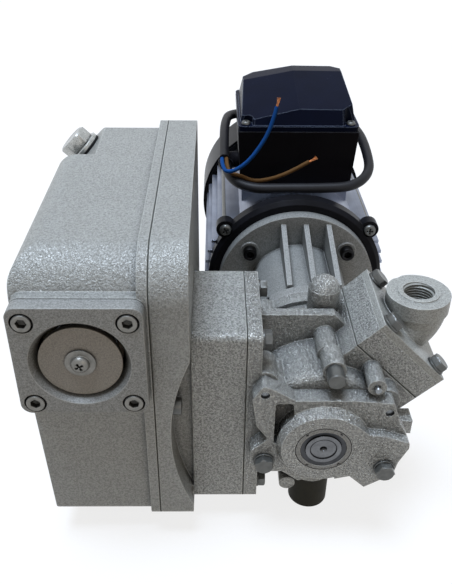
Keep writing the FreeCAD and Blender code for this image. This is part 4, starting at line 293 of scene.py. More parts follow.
def smooth_sprayed_paint(name, colour):
    """The same paint over a cut thread: nearly flat, with flake drawn coarse enough to show."""
    material, tree, place = new_material(name)
    flake = add_node(tree, "ShaderNodeTexNoise", links={"Vector": place},
                     values={"Scale": per_mm(0.9), "Detail": 2.0}).outputs["Fac"]
    cloud = add_node(tree, "ShaderNodeTexNoise", links={"Vector": place},
                     values={"Scale": per_mm(26.0), "Detail": 2.0}).outputs["Fac"]
    tint = add_node(tree, "ShaderNodeValToRGB", links={"Fac": cloud}, stops=[
        (0.3, linear(shaded(colour, 0.94))), (0.7, linear(colour))]).outputs["Color"]
    # Painted shade: the paint is darkened where walls meet.
    base = painted_shade_in_corners(tree, tint, reach=5.0, floor=0.3)
    shine = add_node(tree, "ShaderNodeValToRGB", links={"Fac": flake},
                     stops=[(0.35, grey(0.46)), (0.65, grey(0.34))]).outputs["Color"]
    normal = relief_on_round_edges(tree, flake, depth=0.25, strength=0.9, radius=0.9)
    shader = add_node(tree, "ShaderNodeBsdfPrincipled", values={"Metallic": 0.2, "IOR": 1.5},
                      links={"Base Color": base, "Roughness": shine, "Normal": normal})
    add_node(tree, "ShaderNodeOutputMaterial", links={"Surface": shader.outputs["BSDF"]})
    return material


def plated_steel(name, colour, roughness, metal=1.0):
    """Zinc plated or ground steel: grey metal with a faint haze, and painted shade where walls meet.

    The plating's marks are drawn half a millimetre long, coarser than real, so that they show.
    """
    material, tree, place = new_material(name)
    haze = add_node(tree, "ShaderNodeTexNoise", links={"Vector": place},
                    values={"Scale": per_mm(3.5), "Detail": 3.0}).outputs["Fac"]
    marks = add_node(tree, "ShaderNodeTexNoise", links={"Vector": place},
                     values={"Scale": per_mm(0.5), "Detail": 2.0}).outputs["Fac"]
    tint = add_node(tree, "ShaderNodeValToRGB", links={"Fac": haze}, stops=[
        (0.3, linear(shaded(colour, 0.86))), (0.7, linear(colour))]).outputs["Color"]
    # Painted shade: the metal is darkened where walls meet.
    base = painted_shade_in_corners(tree, tint, reach=5.0, floor=0.12)
    shine = add_node(tree, "ShaderNodeValToRGB", links={"Fac": marks}, stops=[
        (0.3, grey(roughness * 0.85)), (0.7, grey(roughness * 1.2))]).outputs["Color"]
    normal = relief_on_round_edges(tree, marks, depth=0.02, strength=0.5, radius=0.25)
    shader = add_node(tree, "ShaderNodeBsdfPrincipled", values={"Metallic": metal},
                      links={"Base Color": base, "Roughness": shine, "Normal": normal})
    add_node(tree, "ShaderNodeOutputMaterial", links={"Surface": shader.outputs["BSDF"]})
    return material


def moulded_plastic(name, colour, roughness, grain, depth, bevel=0.6, edge_sheen_and_wear="#59606e"):
    """Injection moulding: a grain drawn coarse enough to show, and edges that catch the light."""
    material, tree, place = new_material(name)
    texture = add_node(tree, "ShaderNodeTexNoise", links={"Vector": place},
                       values={"Scale": per_mm(grain), "Detail": 3.0}).outputs["Fac"]
    dust = add_node(tree, "ShaderNodeTexNoise", links={"Vector": place}, values={
        "Scale": per_mm(22.0), "Detail": 4.0, "Roughness": 0.6}).outputs["Fac"]
    shine = add_node(tree, "ShaderNodeValToRGB", links={"Fac": dust}, stops=[
        (0.35, grey(roughness)), (0.75, grey(min(1, roughness * 1.5)))]).outputs["Color"]
    tint = add_node(tree, "ShaderNodeValToRGB", links={"Fac": dust}, stops=[
        (0.3, linear(colour)), (0.8, linear(shaded(colour, 1.18)))]).outputs["Color"]
    # Painted highlight: edges take a lighter colour, standing in for the light they catch.
    base = sheen_and_wear_on_edges(tree, tint, edge_sheen_and_wear, radius=bevel)
    normal = relief_on_round_edges(tree, texture, depth, strength=0.6, radius=bevel)
    shader = add_node(tree, "ShaderNodeBsdfPrincipled",
                      values={"IOR": 1.52, "Specular IOR Level": 0.02},
                      links={"Base Color": base, "Roughness": shine, "Normal": normal})
    add_node(tree, "ShaderNodeOutputMaterial", links={"Surface": shader.outputs["BSDF"]})
    return material


def satin_black_paint(name, colour):
    """Satin paint on a pressed or cast shield: dark, with a broad soft highlight."""
    material, tree, place = new_material(name)
    peel = add_node(tree, "ShaderNodeTexNoise", links={"Vector": place},
                    values={"Scale": per_mm(1.6), "Detail": 2.0}).outputs["Fac"]
    cloud = add_node(tree, "ShaderNodeTexNoise", links={"Vector": place},
                     values={"Scale": per_mm(18.0), "Detail": 3.0}).outputs["Fac"]
    base = add_node(tree, "ShaderNodeValToRGB", links={"Fac": cloud}, stops=[
        (0.35, linear(colour)), (0.7, linear(shaded(colour, 1.5)))]).outputs["Color"]
    normal = relief_on_round_edges(tree, peel, depth=0.06, strength=0.7, radius=0.8)
    shader = add_node(tree, "ShaderNodeBsdfPrincipled",
                      values={"Roughness": 0.3, "IOR": 1.5, "Specular IOR Level": 0.05},
                      links={"Base Color": base, "Normal": normal})
    add_node(tree, "ShaderNodeOutputMaterial", links={"Surface": shader.outputs["BSDF"]})
    return material


def drawn_aluminium(name, colour):
    """Extruded aluminium: bare metal with die lines that run along the motor.

    The lines are drawn 0.6 mm apart, coarser than real, so that they show.
    """
    material, tree, place = new_material(name)
    stretched = add_node(tree, "ShaderNodeMapping", values={"Scale": (1.0, 0.02, 1.0)},
                         links={"Vector": place}).outputs["Vector"]
    lines = add_node(tree, "ShaderNodeTexNoise", links={"Vector": stretched},
                     values={"Scale": per_mm(0.6), "Detail": 3.0}).outputs["Fac"]
    cloud = add_node(tree, "ShaderNodeTexNoise", links={"Vector": place},
                     values={"Scale": per_mm(20.0), "Detail": 3.0}).outputs["Fac"]
    base = add_node(tree, "ShaderNodeValToRGB", links={"Fac": cloud}, stops=[
        (0.3, linear(shaded(colour, 0.85))), (0.7, linear(colour))]).outputs["Color"]
    shine = add_node(tree, "ShaderNodeValToRGB", links={"Fac": lines},
                     stops=[(0.3, grey(0.30)), (0.7, grey(0.46))]).outputs["Color"]
    normal = relief_on_round_edges(tree, lines, depth=0.05, strength=0.6, radius=0.4)
    shader = add_node(tree, "ShaderNodeBsdfPrincipled", values={"Metallic": 1.0},
                      links={"Base Color": base, "Roughness": shine, "Normal": normal})
    add_node(tree, "ShaderNodeOutputMaterial", links={"Surface": shader.outputs["BSDF"]})
    return material


def soft_rubber(name, colour, roughness=0.75):
    """Moulded rubber or cable sheath: dull and a little dusty, with a grain coarse enough to show."""
    material, tree, place = new_material(name)
    dust = add_node(tree, "ShaderNodeTexNoise", links={"Vector": place}, values={
        "Scale": per_mm(9.0), "Detail": 4.0, "Roughness": 0.6}).outputs["Fac"]
    fine = add_node(tree, "ShaderNodeTexNoise", links={"Vector": place},
                    values={"Scale": per_mm(0.7), "Detail": 2.0}).outputs["Fac"]
    base = add_node(tree, "ShaderNodeValToRGB", links={"Fac": dust}, stops=[
        (0.35, linear(colour)), (0.75, linear(shaded(colour, 1.35)))]).outputs["Color"]
    normal = relief_on_round_edges(tree, fine, depth=0.04, strength=0.6, radius=0.5)
    shader = add_node(tree, "ShaderNodeBsdfPrincipled",
                      values={"Roughness": roughness, "IOR": 1.52, "Specular IOR Level": 0.2},
                      links={"Base Color": base, "Normal": normal})
    add_node(tree, "ShaderNodeOutputMaterial", links={"Surface": shader.outputs["BSDF"]})
    return material


def pressed_fibre(name, colour):
    """Gasket or filter stock: dull matted fibres, drawn coarse enough to show."""
    material, tree, place = new_material(name)
    fibres = add_node(tree, "ShaderNodeTexNoise", links={"Vector": place}, values={
        "Scale": per_mm(0.8), "Detail": 5.0, "Roughness": 0.7}).outputs["Fac"]
    base = add_node(tree, "ShaderNodeValToRGB", links={"Fac": fibres}, stops=[
        (0.3, linear(shaded(colour, 0.8))), (0.7, linear(colour))]).outputs["Color"]
    normal = add_node(tree, "ShaderNodeBump", values={"Strength": 0.7, "Distance": 0.08 * MM},
                      links={"Height": fibres}).outputs["Normal"]
    shader = add_node(tree, "ShaderNodeBsdfPrincipled", values={"Roughness": 0.9},
                      links={"Base Color": base, "Normal": normal})
    add_node(tree, "ShaderNodeOutputMaterial", links={"Surface": shader.outputs["BSDF"]})
    return material


def bare_copper(name):
    """Fine copper wire: warm metal, a little tarnished."""
    material, tree, place = new_material(name)
    tarnish = add_node(tree, "ShaderNodeTexNoise", links={"Vector": place},
                       values={"Scale": per_mm(1.5), "Detail": 3.0}).outputs["Fac"]
    base = add_node(tree, "ShaderNodeValToRGB", links={"Fac": tarnish},
                    stops=[(0.3, linear("#8d5230")), (0.7, linear("#c98a5c"))]).outputs["Color"]
    shader = add_node(tree, "ShaderNodeBsdfPrincipled",
                      values={"Metallic": 1.0, "Roughness": 0.34}, links={"Base Color": base})
    add_node(tree, "ShaderNodeOutputMaterial", links={"Surface": shader.outputs["BSDF"]})
    return material


def clear_glass(name):
    """Polished sight glass over pale oil."""
    material, tree, place = new_material(name)
    film = add_node(tree, "ShaderNodeTexNoise", links={"Vector": place},
                    values={"Scale": per_mm(6.0), "Detail": 2.0}).outputs["Fac"]
    shine = add_node(tree, "ShaderNodeValToRGB", links={"Fac": film},
                     stops=[(0.3, grey(0.02)), (0.7, grey(0.08))]).outputs["Color"]
    shader = add_node(tree, "ShaderNodeBsdfPrincipled", links={"Roughness": shine}, values={
        "Base Color": linear("#e7e2c8"), "Transmission Weight": 0.85, "IOR": 1.5})
    add_node(tree, "ShaderNodeOutputMaterial", links={"Surface": shader.outputs["BSDF"]})
    return material


def varnished_core(name):
    """Stacked core sheets and enamelled windings under amber varnish.

    The sheets are drawn about 2 mm thick, coarser than real, so that they show.
    """
    material, tree, place = new_material(name)
    turned = add_node(tree, "ShaderNodeMapping", values={"Rotation": (math.pi / 2, 0, 0)},
                      links={"Vector": place}).outputs["Vector"]
    sheets = add_node(tree, "ShaderNodeTexWave", settings={"bands_direction": "Z"},
                      values={"Scale": per_mm(6.0), "Distortion": 0.6},
                      links={"Vector": turned}).outputs["Fac"]
    base = add_node(tree, "ShaderNodeValToRGB", links={"Fac": sheets},
                    stops=[(0.2, linear("#3a2c22")), (0.8, linear("#6b4c35"))]).outputs["Color"]
    normal = add_node(tree, "ShaderNodeBump", values={"Strength": 0.6, "Distance": 0.1 * MM},
                      links={"Height": sheets}).outputs["Normal"]
    shader = add_node(tree, "ShaderNodeBsdfPrincipled",
                      values={"Roughness": 0.45, "Metallic": 0.3},
                      links={"Base Color": base, "Normal": normal})
    add_node(tree, "ShaderNodeOutputMaterial", links={"Surface": shader.outputs["BSDF"]})
    return material


MATERIALS = {}


def make_materials():
    """All finishes, under the record's slot names and a few for the added pieces."""
    look = finishes()
    MATERIALS.update({
        "cast_paint": hammered_cast_paint(
            "hammered_cast_paint", look.cast_paint, grain=1.1, depth=0.75, dark=0.87, gloss=0.32),
        "elbow_paint": hammered_cast_paint(
            "fine_sand_cast_paint", look.smooth_paint, grain=0.85, depth=0.4, dark=0.86,
            gloss=0.34),
        "rough_cast": hammered_cast_paint(
            "rough_sand_cast_paint", look.cast_paint, grain=0.95, depth=1.05, dark=0.67,
            gloss=0.22, metal=0.42, reach=11.0),
        "block_paint": hammered_cast_paint(
            "mottled_cast_paint", shaded(look.cast_paint, 1.02), grain=1.1, depth=1.0, dark=0.76,
            gloss=0.28, metal=0.34),
        "plate_paint": hammered_cast_paint(
            "fine_cast_paint", shaded(look.cast_paint, 0.92), grain=0.7, depth=0.10, dark=0.84),
        "disc_paint": hammered_cast_paint(
            "dull_disc_paint", "#837d73", grain=0.7, depth=0.06, dark=0.9),
        "smooth_paint": smooth_sprayed_paint("smooth_sprayed_paint", look.smooth_paint),
        "gasket_sheet": pressed_fibre("pressed_fibre_gasket", "#474844"),
        "zinc": plated_steel("zinc_plated_steel", look.zinc, 0.34, 0.6),
        "seal_steel": plated_steel("pressed_seal_steel", "#47484a", 0.4),
        "bright_zinc": plated_steel("bright_zinc_plated_steel", "#b9bbb9", 0.28, 0.7),
        "dull_zinc": plated_steel("dull_zinc_plated_steel", "#85837e", 0.42, 0.7),
        "black_steel": plated_steel("blackened_steel", look.black_steel, 0.38),
        "spring_steel": plated_steel("blue_spring_steel", "#8d9093", 0.28),
        "steel": plated_steel("ground_steel", "#727375", 0.3),
        "vane_resin": moulded_plastic(
            "carbon_filled_resin", "#26231f", roughness=0.55, grain=0.8, depth=0.05, bevel=0.3,
            edge_sheen_and_wear="#34302b"),
        "filter_cloth": pressed_fibre("glass_fibre_fleece", "#cfcabb"),
        "black_plastic": moulded_plastic(
            "glossy_black_abs", look.plastic, roughness=0.2, grain=1.2, depth=0.02, bevel=1.0),
        "seal_rubber": soft_rubber("nitrile_rubber", "#121212"),
        "box_plastic": moulded_plastic(
            "satin_black_abs", "#151417", roughness=0.3, grain=1.2, depth=0.02, bevel=1.0,
            edge_sheen_and_wear="#4c4e55"),
        "black_paint": satin_black_paint("satin_black_paint", look.shield_paint),
        "aluminium": drawn_aluminium("extruded_aluminium", look.aluminium),
        "core_iron": varnished_core("varnished_core"),
        "clear_glass": clear_glass("polished_sight_glass"),
        "foot_rubber": soft_rubber("foot_rubber", look.rubber, 0.7),
        "cable_sheath": soft_rubber("pvc_cable_sheath", look.sheath, 0.5),
        "blue_insulation": moulded_plastic(
            "blue_pvc", look.blue, roughness=0.4, grain=0.8, depth=0.02, bevel=0.2, edge_sheen_and_wear=look.blue),
        "brown_insulation": moulded_plastic(
            "brown_pvc", look.brown, roughness=0.4, grain=0.8, depth=0.02, bevel=0.2,
            edge_sheen_and_wear=look.brown),
        "copper": bare_copper("bare_copper_strands"),
    })


def in_scene(name, data):
    """A new object of the scene, made from a mesh, curve, lamp or camera."""
    thing = bpy.data.objects.new(name, data)
    bpy.context.scene.collection.objects.link(thing)
    return thing


# Mesh helpers.
def new_piece(name, bm, finish, body=FRAME_BODY, smooth=40.0):
    """Make an object from a bmesh, with a finish, that rides on a body.

    Edges that turn less than `smooth` degrees are shaded smooth.
    """
    mesh = bpy.data.meshes.new(name)
    bmesh.ops.remove_doubles(bm, verts=bm.verts, dist=1e-6)
    bmesh.ops.recalc_face_normals(bm, faces=bm.faces)
    bm.to_mesh(mesh)
    bm.free()
    for polygon in mesh.polygons:
        polygon.use_smooth = True
    mesh.set_sharp_from_angle(angle=math.radians(smooth))
    piece = in_scene(name, mesh)
    piece.data.materials.append(MATERIALS[finish])
    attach(piece, body)
    return piece


def dress(node, bm, finish, smooth=40.0):
    """Put a fastener's detailed mesh in place of its CAD node."""
    piece = new_piece(node + "_dressed", bm, finish, smooth=smooth)
    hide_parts(node)


def islands(node):
    """The separate solids of a CAD node, each as a list of its points."""
    mesh = NODES[node].data
    parent = {}

    def root(key):
        while parent[key] != key:
            parent[key] = parent[parent[key]]
            key = parent[key]
        return key

    keys = []
    for vertex in mesh.vertices:
        key = tuple(round(value * 1e5) for value in vertex.co)
        keys.append(key)
        parent.setdefault(key, key)
    for edge in mesh.edges:
        first, second = root(keys[edge.vertices[0]]), root(keys[edge.vertices[1]])
        if first != second:
            parent[first] = second
    groups = {}
    for vertex, key in zip(mesh.vertices, keys):
        groups.setdefault(root(key), []).append(vertex.co.copy())
    return list(groups.values())


def box_of(points):
    """Lowest and highest corner of some points."""
    return (Vector([min(point[axis] for point in points) for axis in range(3)]),
            Vector([max(point[axis] for point in points) for axis in range(3)]))


def head_seat(points, out):
    """Where a fastener's axis meets the top of its head, and its whole length."""
    side = out.cross(Vector((0.3, 0.9, 0.2))).normalized()
    other = out.cross(side)
    spans = [[point.dot(axis) for point in points] for axis in (side, other, out)]
    middle = [(min(span) + max(span)) / 2 for span in spans[:2]]
    top = max(spans[2])
    return side * middle[0] + other * middle[1] + out * top, top - min(spans[2])


def placed(point, out, spin=0.0):
    """A matrix whose Z axis points out of a fastener's head."""
    turn = out.to_track_quat("Z", "Y").to_matrix().to_4x4()
    return Matrix.Translation(point) @ turn @ Matrix.Rotation(spin, 4, "Z")


def add_rings(bm, rings, matrix, close_start=True, close_end=True):
    """Skin a list of rings, each a list of (x, y, z) points with the same count."""
    made = [[bm.verts.new(matrix @ Vector(point)) for point in ring] for ring in rings]
    count = len(made[0])
    for low, high in zip(made, made[1:]):
        for number in range(count):
            following = (number + 1) % count
            bm.faces.new((low[number], low[following], high[following], high[number]))
    if close_start:
        bm.faces.new(list(reversed(made[0])))
    if close_end:
        bm.faces.new(made[-1])


def ring_of(radius, height, count=ROUND, across=0.0):
    """A ring at a height: round, or cut to a hexagon if a width across flats is given."""
    wedge = math.pi / 3
    points = []
    for number in range(count):
        angle = 2 * math.pi * number / count
        reach = radius
        if across:
            offset = (angle + wedge / 2) % wedge - wedge / 2
            reach = min(radius, across / 2 / math.cos(offset))
        points.append((reach * math.cos(angle), reach * math.sin(angle), height))
    return points


def socket_screw(bm, points, out, spin):
    """A socket head cap screw: rounded rim, hexagon socket with a cone at its bottom."""
    point, length = head_seat(points, out)
    across = sizes().socket_across
    edge = 0.7 * MM
    burr = 0.2 * MM
    floor = -CAP_HEAD_HEIGHT * 0.55
    rings = [ring_of(CENTRE, -length), ring_of(SHANK_RADIUS, -length),
             ring_of(SHANK_RADIUS, -CAP_HEAD_HEIGHT),
             ring_of(CAP_HEAD_RADIUS - burr, -CAP_HEAD_HEIGHT),
             ring_of(CAP_HEAD_RADIUS, -CAP_HEAD_HEIGHT + burr),
             ring_of(CAP_HEAD_RADIUS, -edge),
             ring_of(CAP_HEAD_RADIUS - edge * 0.3, -edge * 0.3),
             ring_of(CAP_HEAD_RADIUS - edge, 0),
             ring_of(across * 0.64, 0),
             ring_of(across, -0.35 * MM, across=across),
             ring_of(across, floor, across=across),
             ring_of(CENTRE, floor - 0.8 * MM)]
    add_rings(bm, rings, placed(point, out, spin))


def hex_screw(bm, points, out, spin, with_washer=True):
    """A hex head bolt with a turned chamfer, and its washer if it has one."""
    point, length = head_seat(points, out)
    matrix = placed(point, out, spin)
    corner = HEX_ACROSS / math.sqrt(3)
    chamfer = 0.45 * MM
    dimple = 0.15 * MM
    seat = -HEX_HEAD_HEIGHT
    rings = [ring_of(CENTRE, -length), ring_of(SHANK_RADIUS, -length),
             ring_of(SHANK_RADIUS, seat), ring_of(HEX_ACROSS * 0.47, seat),
             ring_of(corner, seat + 0.1 * MM, across=HEX_ACROSS),
             ring_of(corner, -chamfer * 1.4, across=HEX_ACROSS),
             ring_of(HEX_ACROSS / 2 - chamfer * 0.4, 0),
             ring_of(HEX_ACROSS * 0.30, -dimple), ring_of(CENTRE, -dimple)]
    add_rings(bm, rings, matrix)
    if with_washer:
        bore = SHANK_RADIUS + 0.05 * MM
        under = seat - WASHER_THICKNESS
        flat = [(bore, under), (WASHER_RADIUS - 0.2 * MM, under),
                (WASHER_RADIUS, under + 0.2 * MM), (WASHER_RADIUS, seat - 0.25 * MM),
                (WASHER_RADIUS - 0.25 * MM, seat), (bore, seat)]
        add_rings(bm, [ring_of(reach, height) for reach, height in flat + flat[:1]],
                  matrix, False, False)


def cross_screw(bm, points, out, head, slot_reach, spin):
    """A pan head screw, whose head is (radius, height) pairs in mm, with a notched crown."""
    point, length = head_seat(points, out)
    count = 48
    profile = [(radius * MM, height * MM) for radius, height in head]
    rings = [ring_of(CENTRE, -length, count), ring_of(profile[0][0], -length, count)]
    rings += [ring_of(radius, height, count) for radius, height in profile]
    half = slot_reach * 0.24
    for share, sink in ((1.0, 0.0), (0.985, 1.0), (0.7, 1.0), (0.4, 1.25)):
        ring = []
        for number in range(count):
            angle = 2 * math.pi * number / count
            x, y = slot_reach * share * math.cos(angle), slot_reach * share * math.sin(angle)
            inside = min(abs(x), abs(y)) < half * (0.55 + 0.45 * share)
            ring.append((x, y, -slot_reach * 0.42 * sink if inside else 0))
        rings.append(ring)
    rings.append([(0, 0, -slot_reach * 0.6)] * count)
    add_rings(bm, rings, placed(point, out, spin), True, False)


class PUMP_OT_finishes(bpy.types.Operator):
    """Give every CAD node its finish"""
    bl_idname = "pump.finishes"
    bl_label = "Finishes"

    def execute(self, context):
        make_materials()
        special = {"pump_cylinder": "rough_cast", "front_end_cover": "rough_cast",
                   "rear_end_cover": "rough_cast", "bell_housing": "plate_paint",
                   "exhaust_plate": "plate_paint", "deflector_disc": "disc_paint",
                   "bearing_outer_rings": "plate_paint", "transfer_block": "block_paint",
                   "inlet_valve_body": "block_paint", "terminal_box": "box_plastic",
                   "cable_gland": "box_plastic", "inlet_elbow": "elbow_paint"}
        for row in frame["record"]["subparts"]:
            node = NODES[row["node"]]
            node.data.materials.clear()
            finish = special.get(row["node"], row["material_slot"])
            node.data.materials.append(MATERIALS[finish])
        return {"FINISHED"}


class PUMP_OT_socket_screws(bpy.types.Operator):
    """Cap screws of the cover, the exhaust plate and the bell housing"""
    bl_idname = "pump.socket_screws"
    bl_label = "Socket screws"

    def execute(self, context):
        for node, out, finish in (("box_cover_screws", TO_RIGHT, "zinc"),
                                  ("plate_screws", TO_FRONT, "dull_zinc"),
                                  ("bell_screws", TO_FRONT, "black_steel")):
            bm = bmesh.new()
            for number, points in enumerate(islands(node)):
                socket_screw(bm, points, out, 0.4 * number)
            dress(node, bm, finish)
        return {"FINISHED"}


class PUMP_OT_hex_bolts(bpy.types.Operator):
    """Hex head bolts with washers on the castings and the inlet"""
    bl_idname = "pump.hex_bolts"
    bl_label = "Hex bolts"

    def execute(self, context):
        bm = bmesh.new()
        for number, points in enumerate(islands("casting_bolts")):
            low, high = box_of(points)
            if high.x - low.x > high.y - low.y:
                out = TO_RIGHT
            else:
                out = TO_FRONT if low.y < 0 else TO_REAR
            hex_screw(bm, points, out, 0.3 * number, with_washer=out is not TO_REAR)
        dress("casting_bolts", bm, "zinc", smooth=25)
        bm = bmesh.new()
        for number, points in enumerate(islands("inlet_bolts")):
            hex_screw(bm, points, INLET_OUT, 0.5 * number)
        dress("inlet_bolts", bm, "zinc", smooth=25)
        return {"FINISHED"}


# Heads of the cross recess screws, from the seat to the crown: radius and height in mm.
TIE_ROD_HEAD = ((2.45, -2.8), (4.4, -2.8), (4.6, -2.5), (4.6, -1.6), (4.1, -0.6), (3.2, 0))
LID_SCREW_HEAD = ((1.6, -2.3), (3.2, -2.3), (3.4, -2.0), (3.3, -1.2), (2.6, -0.2), (2.2, 0))
DISC_SCREW_HEAD = ((2.95, -4.4), (7.8, -4.4), (8.0, -4.2), (8.0, -3.3), (7.8, -3.1), (5.2, -3.1),
                   (4.9, -2.8), (4.9, -2.2), (4.2, -0.9), (3.2, -0.2), (2.7, 0))


class PUMP_OT_cross_screws(bpy.types.Operator):
    """Screws with cross recesses: tie rods, lid screws and the disc's screw"""
    bl_idname = "pump.cross_screws"
    bl_label = "Cross recess screws"

    def execute(self, context):
        for node, out, head, slot_reach, finish, start, step in (
                ("tie_rods", TO_FRONT, TIE_ROD_HEAD, 2.5 * MM, "zinc", 0.0, 0.5),
                ("lid_screws", UPWARD, LID_SCREW_HEAD, 1.8 * MM, "zinc", 0.0, 0.7),
                ("disc_screw", TO_FRONT, DISC_SCREW_HEAD, 2.4 * MM, "dull_zinc", 0.5, 0.0)):
            bm = bmesh.new()
            for number, points in enumerate(islands(node)):
                cross_screw(bm, points, out, head, slot_reach, start + step * number)
            dress(node, bm, finish)
        return {"FINISHED"}


# The supply cable and its two cores, routes in metres.
SHEATH_ROUTE = [
    (-0.0530, 0.1979, 0.1500), (-0.0530, 0.1775, 0.1500), (-0.0380, 0.1600, 0.1470),
    (-0.0090, 0.1600, 0.1475), (0.0170, 0.1605, 0.1475), (0.0420, 0.1620, 0.1480),
    (0.0575, 0.1810, 0.1515), (0.0585, 0.2090, 0.1580), (0.0570, 0.2410, 0.1620),
    (0.0490, 0.2750, 0.1610), (0.0140, 0.2820, 0.1600), (-0.0200, 0.2810, 0.1620),
    (-0.0500, 0.2720, 0.1660), (-0.0540, 0.2410, 0.1680), (-0.0550, 0.2110, 0.1660),
    (-0.0550, 0.1840, 0.1610)]
BLUE_ROUTE = [
    (-0.0567, 0.1840, 0.1610), (-0.0567, 0.1761, 0.1595), (-0.0543, 0.1690, 0.1565),
    (-0.0470, 0.1665, 0.1585), (-0.0380, 0.1660, 0.1655), (-0.0300, 0.1675, 0.1755),
    (-0.0235, 0.1700, 0.1860), (-0.0195, 0.1730, 0.1970), (-0.0175, 0.1755, 0.2045)]
BROWN_ROUTE = [
    (-0.0533, 0.1840, 0.1610), (-0.0533, 0.1770, 0.1597), (-0.0510, 0.1710, 0.1545),
    (-0.0435, 0.1685, 0.1540), (-0.0330, 0.1675, 0.1495), (-0.0210, 0.1670, 0.1515),
    (-0.0095, 0.1665, 0.1560), (0.0015, 0.1680, 0.1615), (0.0080, 0.1690, 0.1650)]


def cord_along(name, route, radius, finish):
    """A round cord on one smooth NURBS line."""
    curve = bpy.data.curves.new(name, "CURVE")
    curve.dimensions = "3D"
    spline = curve.splines.new("NURBS")
    spline.points.add(len(route) - 1)
    for point, place in zip(spline.points, route):
        point.co = (*place, 1.0)
    spline.order_u = 3
    spline.use_endpoint_u = True
    spline.resolution_u = 12
    curve.bevel_depth = radius
    curve.bevel_resolution = 6
    curve.use_fill_caps = True
    cord = in_scene(name, curve)
    cord.data.materials.append(MATERIALS[finish])
    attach(cord, FRAME_BODY)
    return cord


def line_of(cord):
    """Points along a cord's own centreline."""
    copy = cord.copy()
    copy.data = cord.data.copy()
    copy.data.bevel_depth = 0
    bpy.context.scene.collection.objects.link(copy)
    bpy.context.view_layer.update()
    mesh = bpy.data.meshes.new_from_object(copy)
    points = [vertex.co.copy() for vertex in mesh.vertices]
    bpy.data.objects.remove(copy)
    bpy.data.meshes.remove(mesh)
    return points


def length_of(points):
    """Length of a line through points."""
    return sum((after - before).length for before, after in zip(points, points[1:]))


def strand_tip(name, points):
    """The bare end of a core: fine copper strands, loosely twisted and splayed."""
    end, before = points[-1], points[-4]
    along = (end - before).normalized()
    side = along.orthogonal().normalized()
    other = along.cross(side)

    def beside(middle, turn, distance):
        """A point at a turn and a distance from another, across the core's line."""
        return middle + (side * math.cos(turn) + other * math.sin(turn)) * distance

    reach, sunk_in = 7.2 * MM, 0.8 * MM
    bundle_radius, strand_radius, splay = 0.55 * MM, 0.2 * MM, 0.9 * MM
    twist = 1.4
    steps = 6
    count = sizes().strand_count
    bm = bmesh.new()
    for number in range(count):
        start = 2 * math.pi * number / count
        length = reach * (1 - 0.04 * (number % 3))
        opening = splay * (0.4 + 0.6 * math.sin(2.1 * number))
        rings = []
        for step in range(steps + 1):
            share = step / steps
            spread = bundle_radius + opening * share * share
            if number == 0:
                spread *= 0.1
            middle = beside(end + along * (length * share - sunk_in), start + share * twist, spread)
            rings.append([beside(middle, math.pi / 3 * corner, strand_radius)
                          for corner in range(6)])
        add_rings(bm, rings, Matrix.Identity(4))
    return new_piece(name, bm, "copper")


class PUMP_OT_cords(bpy.types.Operator):
    """The supply cable round the terminal box, and its two bared cores"""
    bl_idname = "pump.cords"
    bl_label = "Cable"

    def execute(self, context):
        cable = cord_along("supply_cable", SHEATH_ROUTE, SHEATH_RADIUS, "cable_sheath")
        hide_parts("power_cable")
        length_of(line_of(cable))
        for name, route, node, finish in (
                ("blue_wire", BLUE_ROUTE, "blue_core", "blue_insulation"),
                ("brown_wire", BROWN_ROUTE, "brown_core", "brown_insulation")):
            wire = cord_along(name, route, CORE_RADIUS, finish)
            points = line_of(wire)
            tip = strand_tip(name + "_strands", points)
            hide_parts(node)
        return {"FINISHED"}


# The filler plug from its foot to its crown, in mm: radius, height above the boss that it is
# screwed into, and the width across flats of the rings that are cut to a hexagon.
PLUG_RINGS = ((0.01, -6, 0), (10, -6, 0), (10.4, -5, 0), (10.4, 1.5, 0), (12.6, 1.5, 0),
              (13, 1.9, 0), (13, 4, 0), (12.4, 4.5, 0), (9.8, 4.5, 19.2), (11, 5, 19.2),
              (11, 12.2, 19.2), (9.3, 13.4, 0), (8.6, 13.5, 0), (7.6, 13.2, 0), (0.01, 13.2, 0))


class PUMP_OT_filler_plug(bpy.types.Operator):
    """The oil filler plug with its chamfered hexagon and flange"""
    bl_idname = "pump.filler_plug"
    bl_label = "Filler plug"

    def execute(self, context):
        low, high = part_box("filler_seal")
        middle = (low + high) / 2
        plug_low, plug_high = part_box("oil_filler_plug")
        slant = (plug_low + plug_high) / 2 - middle
        out = Vector((slant.x, 0, slant.z)).normalized()
        seat = middle - out * 0.75 * MM
        bm = bmesh.new()
        rings = [ring_of(radius * MM, height * MM, across=across * MM)
                 for radius, height, across in PLUG_RINGS]
        add_rings(bm, rings, placed(seat, out, 0.3))
        dress("oil_filler_plug", bm, "bright_zinc", smooth=30)
        return {"FINISHED"}


class PUMP_OT_inlet_thread(bpy.types.Operator):
    """The pipe thread in the inlet's mouth"""
    bl_idname = "pump.inlet_thread"
    bl_label = "Inlet thread"

    def execute(self, context):
        mount = next(row for row in frame["record"]["mounts"] if row["name"] == "inlet_port")
        centre = Vector(mount["pos_m"])
        root = mount["dims"]["r_mm"] * MM + 0.05 * MM
        crest = 1.0 * MM
        pitch = sizes().thread_pitch
        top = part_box("inlet_elbow")[1].z - 1.2 * MM
        steps_per_turn = 40
        steps = 6 * steps_per_turn
        fading_steps = 12
        # Across the ridge: place in pitches, and share of the crest's height.
        ridge = ((-0.45, 0.0), (-0.08, 1.0), (0.08, 1.0), (0.45, 0.0))
        bm = bmesh.new()
        rows = []
        for step in range(steps + 1):
            angle = 2 * math.pi * step / steps_per_turn
            height = top - pitch * step / steps_per_turn
            fade = min(1.0, step / fading_steps, (steps - step) / fading_steps)
            row = []
            for place, share in ridge:
                radius = root - crest * fade * share
                row.append(bm.verts.new((centre.x + radius * math.cos(angle),
                                         centre.y + radius * math.sin(angle),
                                         height + place * pitch)))
            rows.append(row)
        for first, second in zip(rows, rows[1:]):
            for place in range(3):
                bm.faces.new((first[place], first[place + 1], second[place + 1], second[place]))
        piece = new_piece("inlet_thread", bm, "smooth_paint")
        return {"FINISHED"}


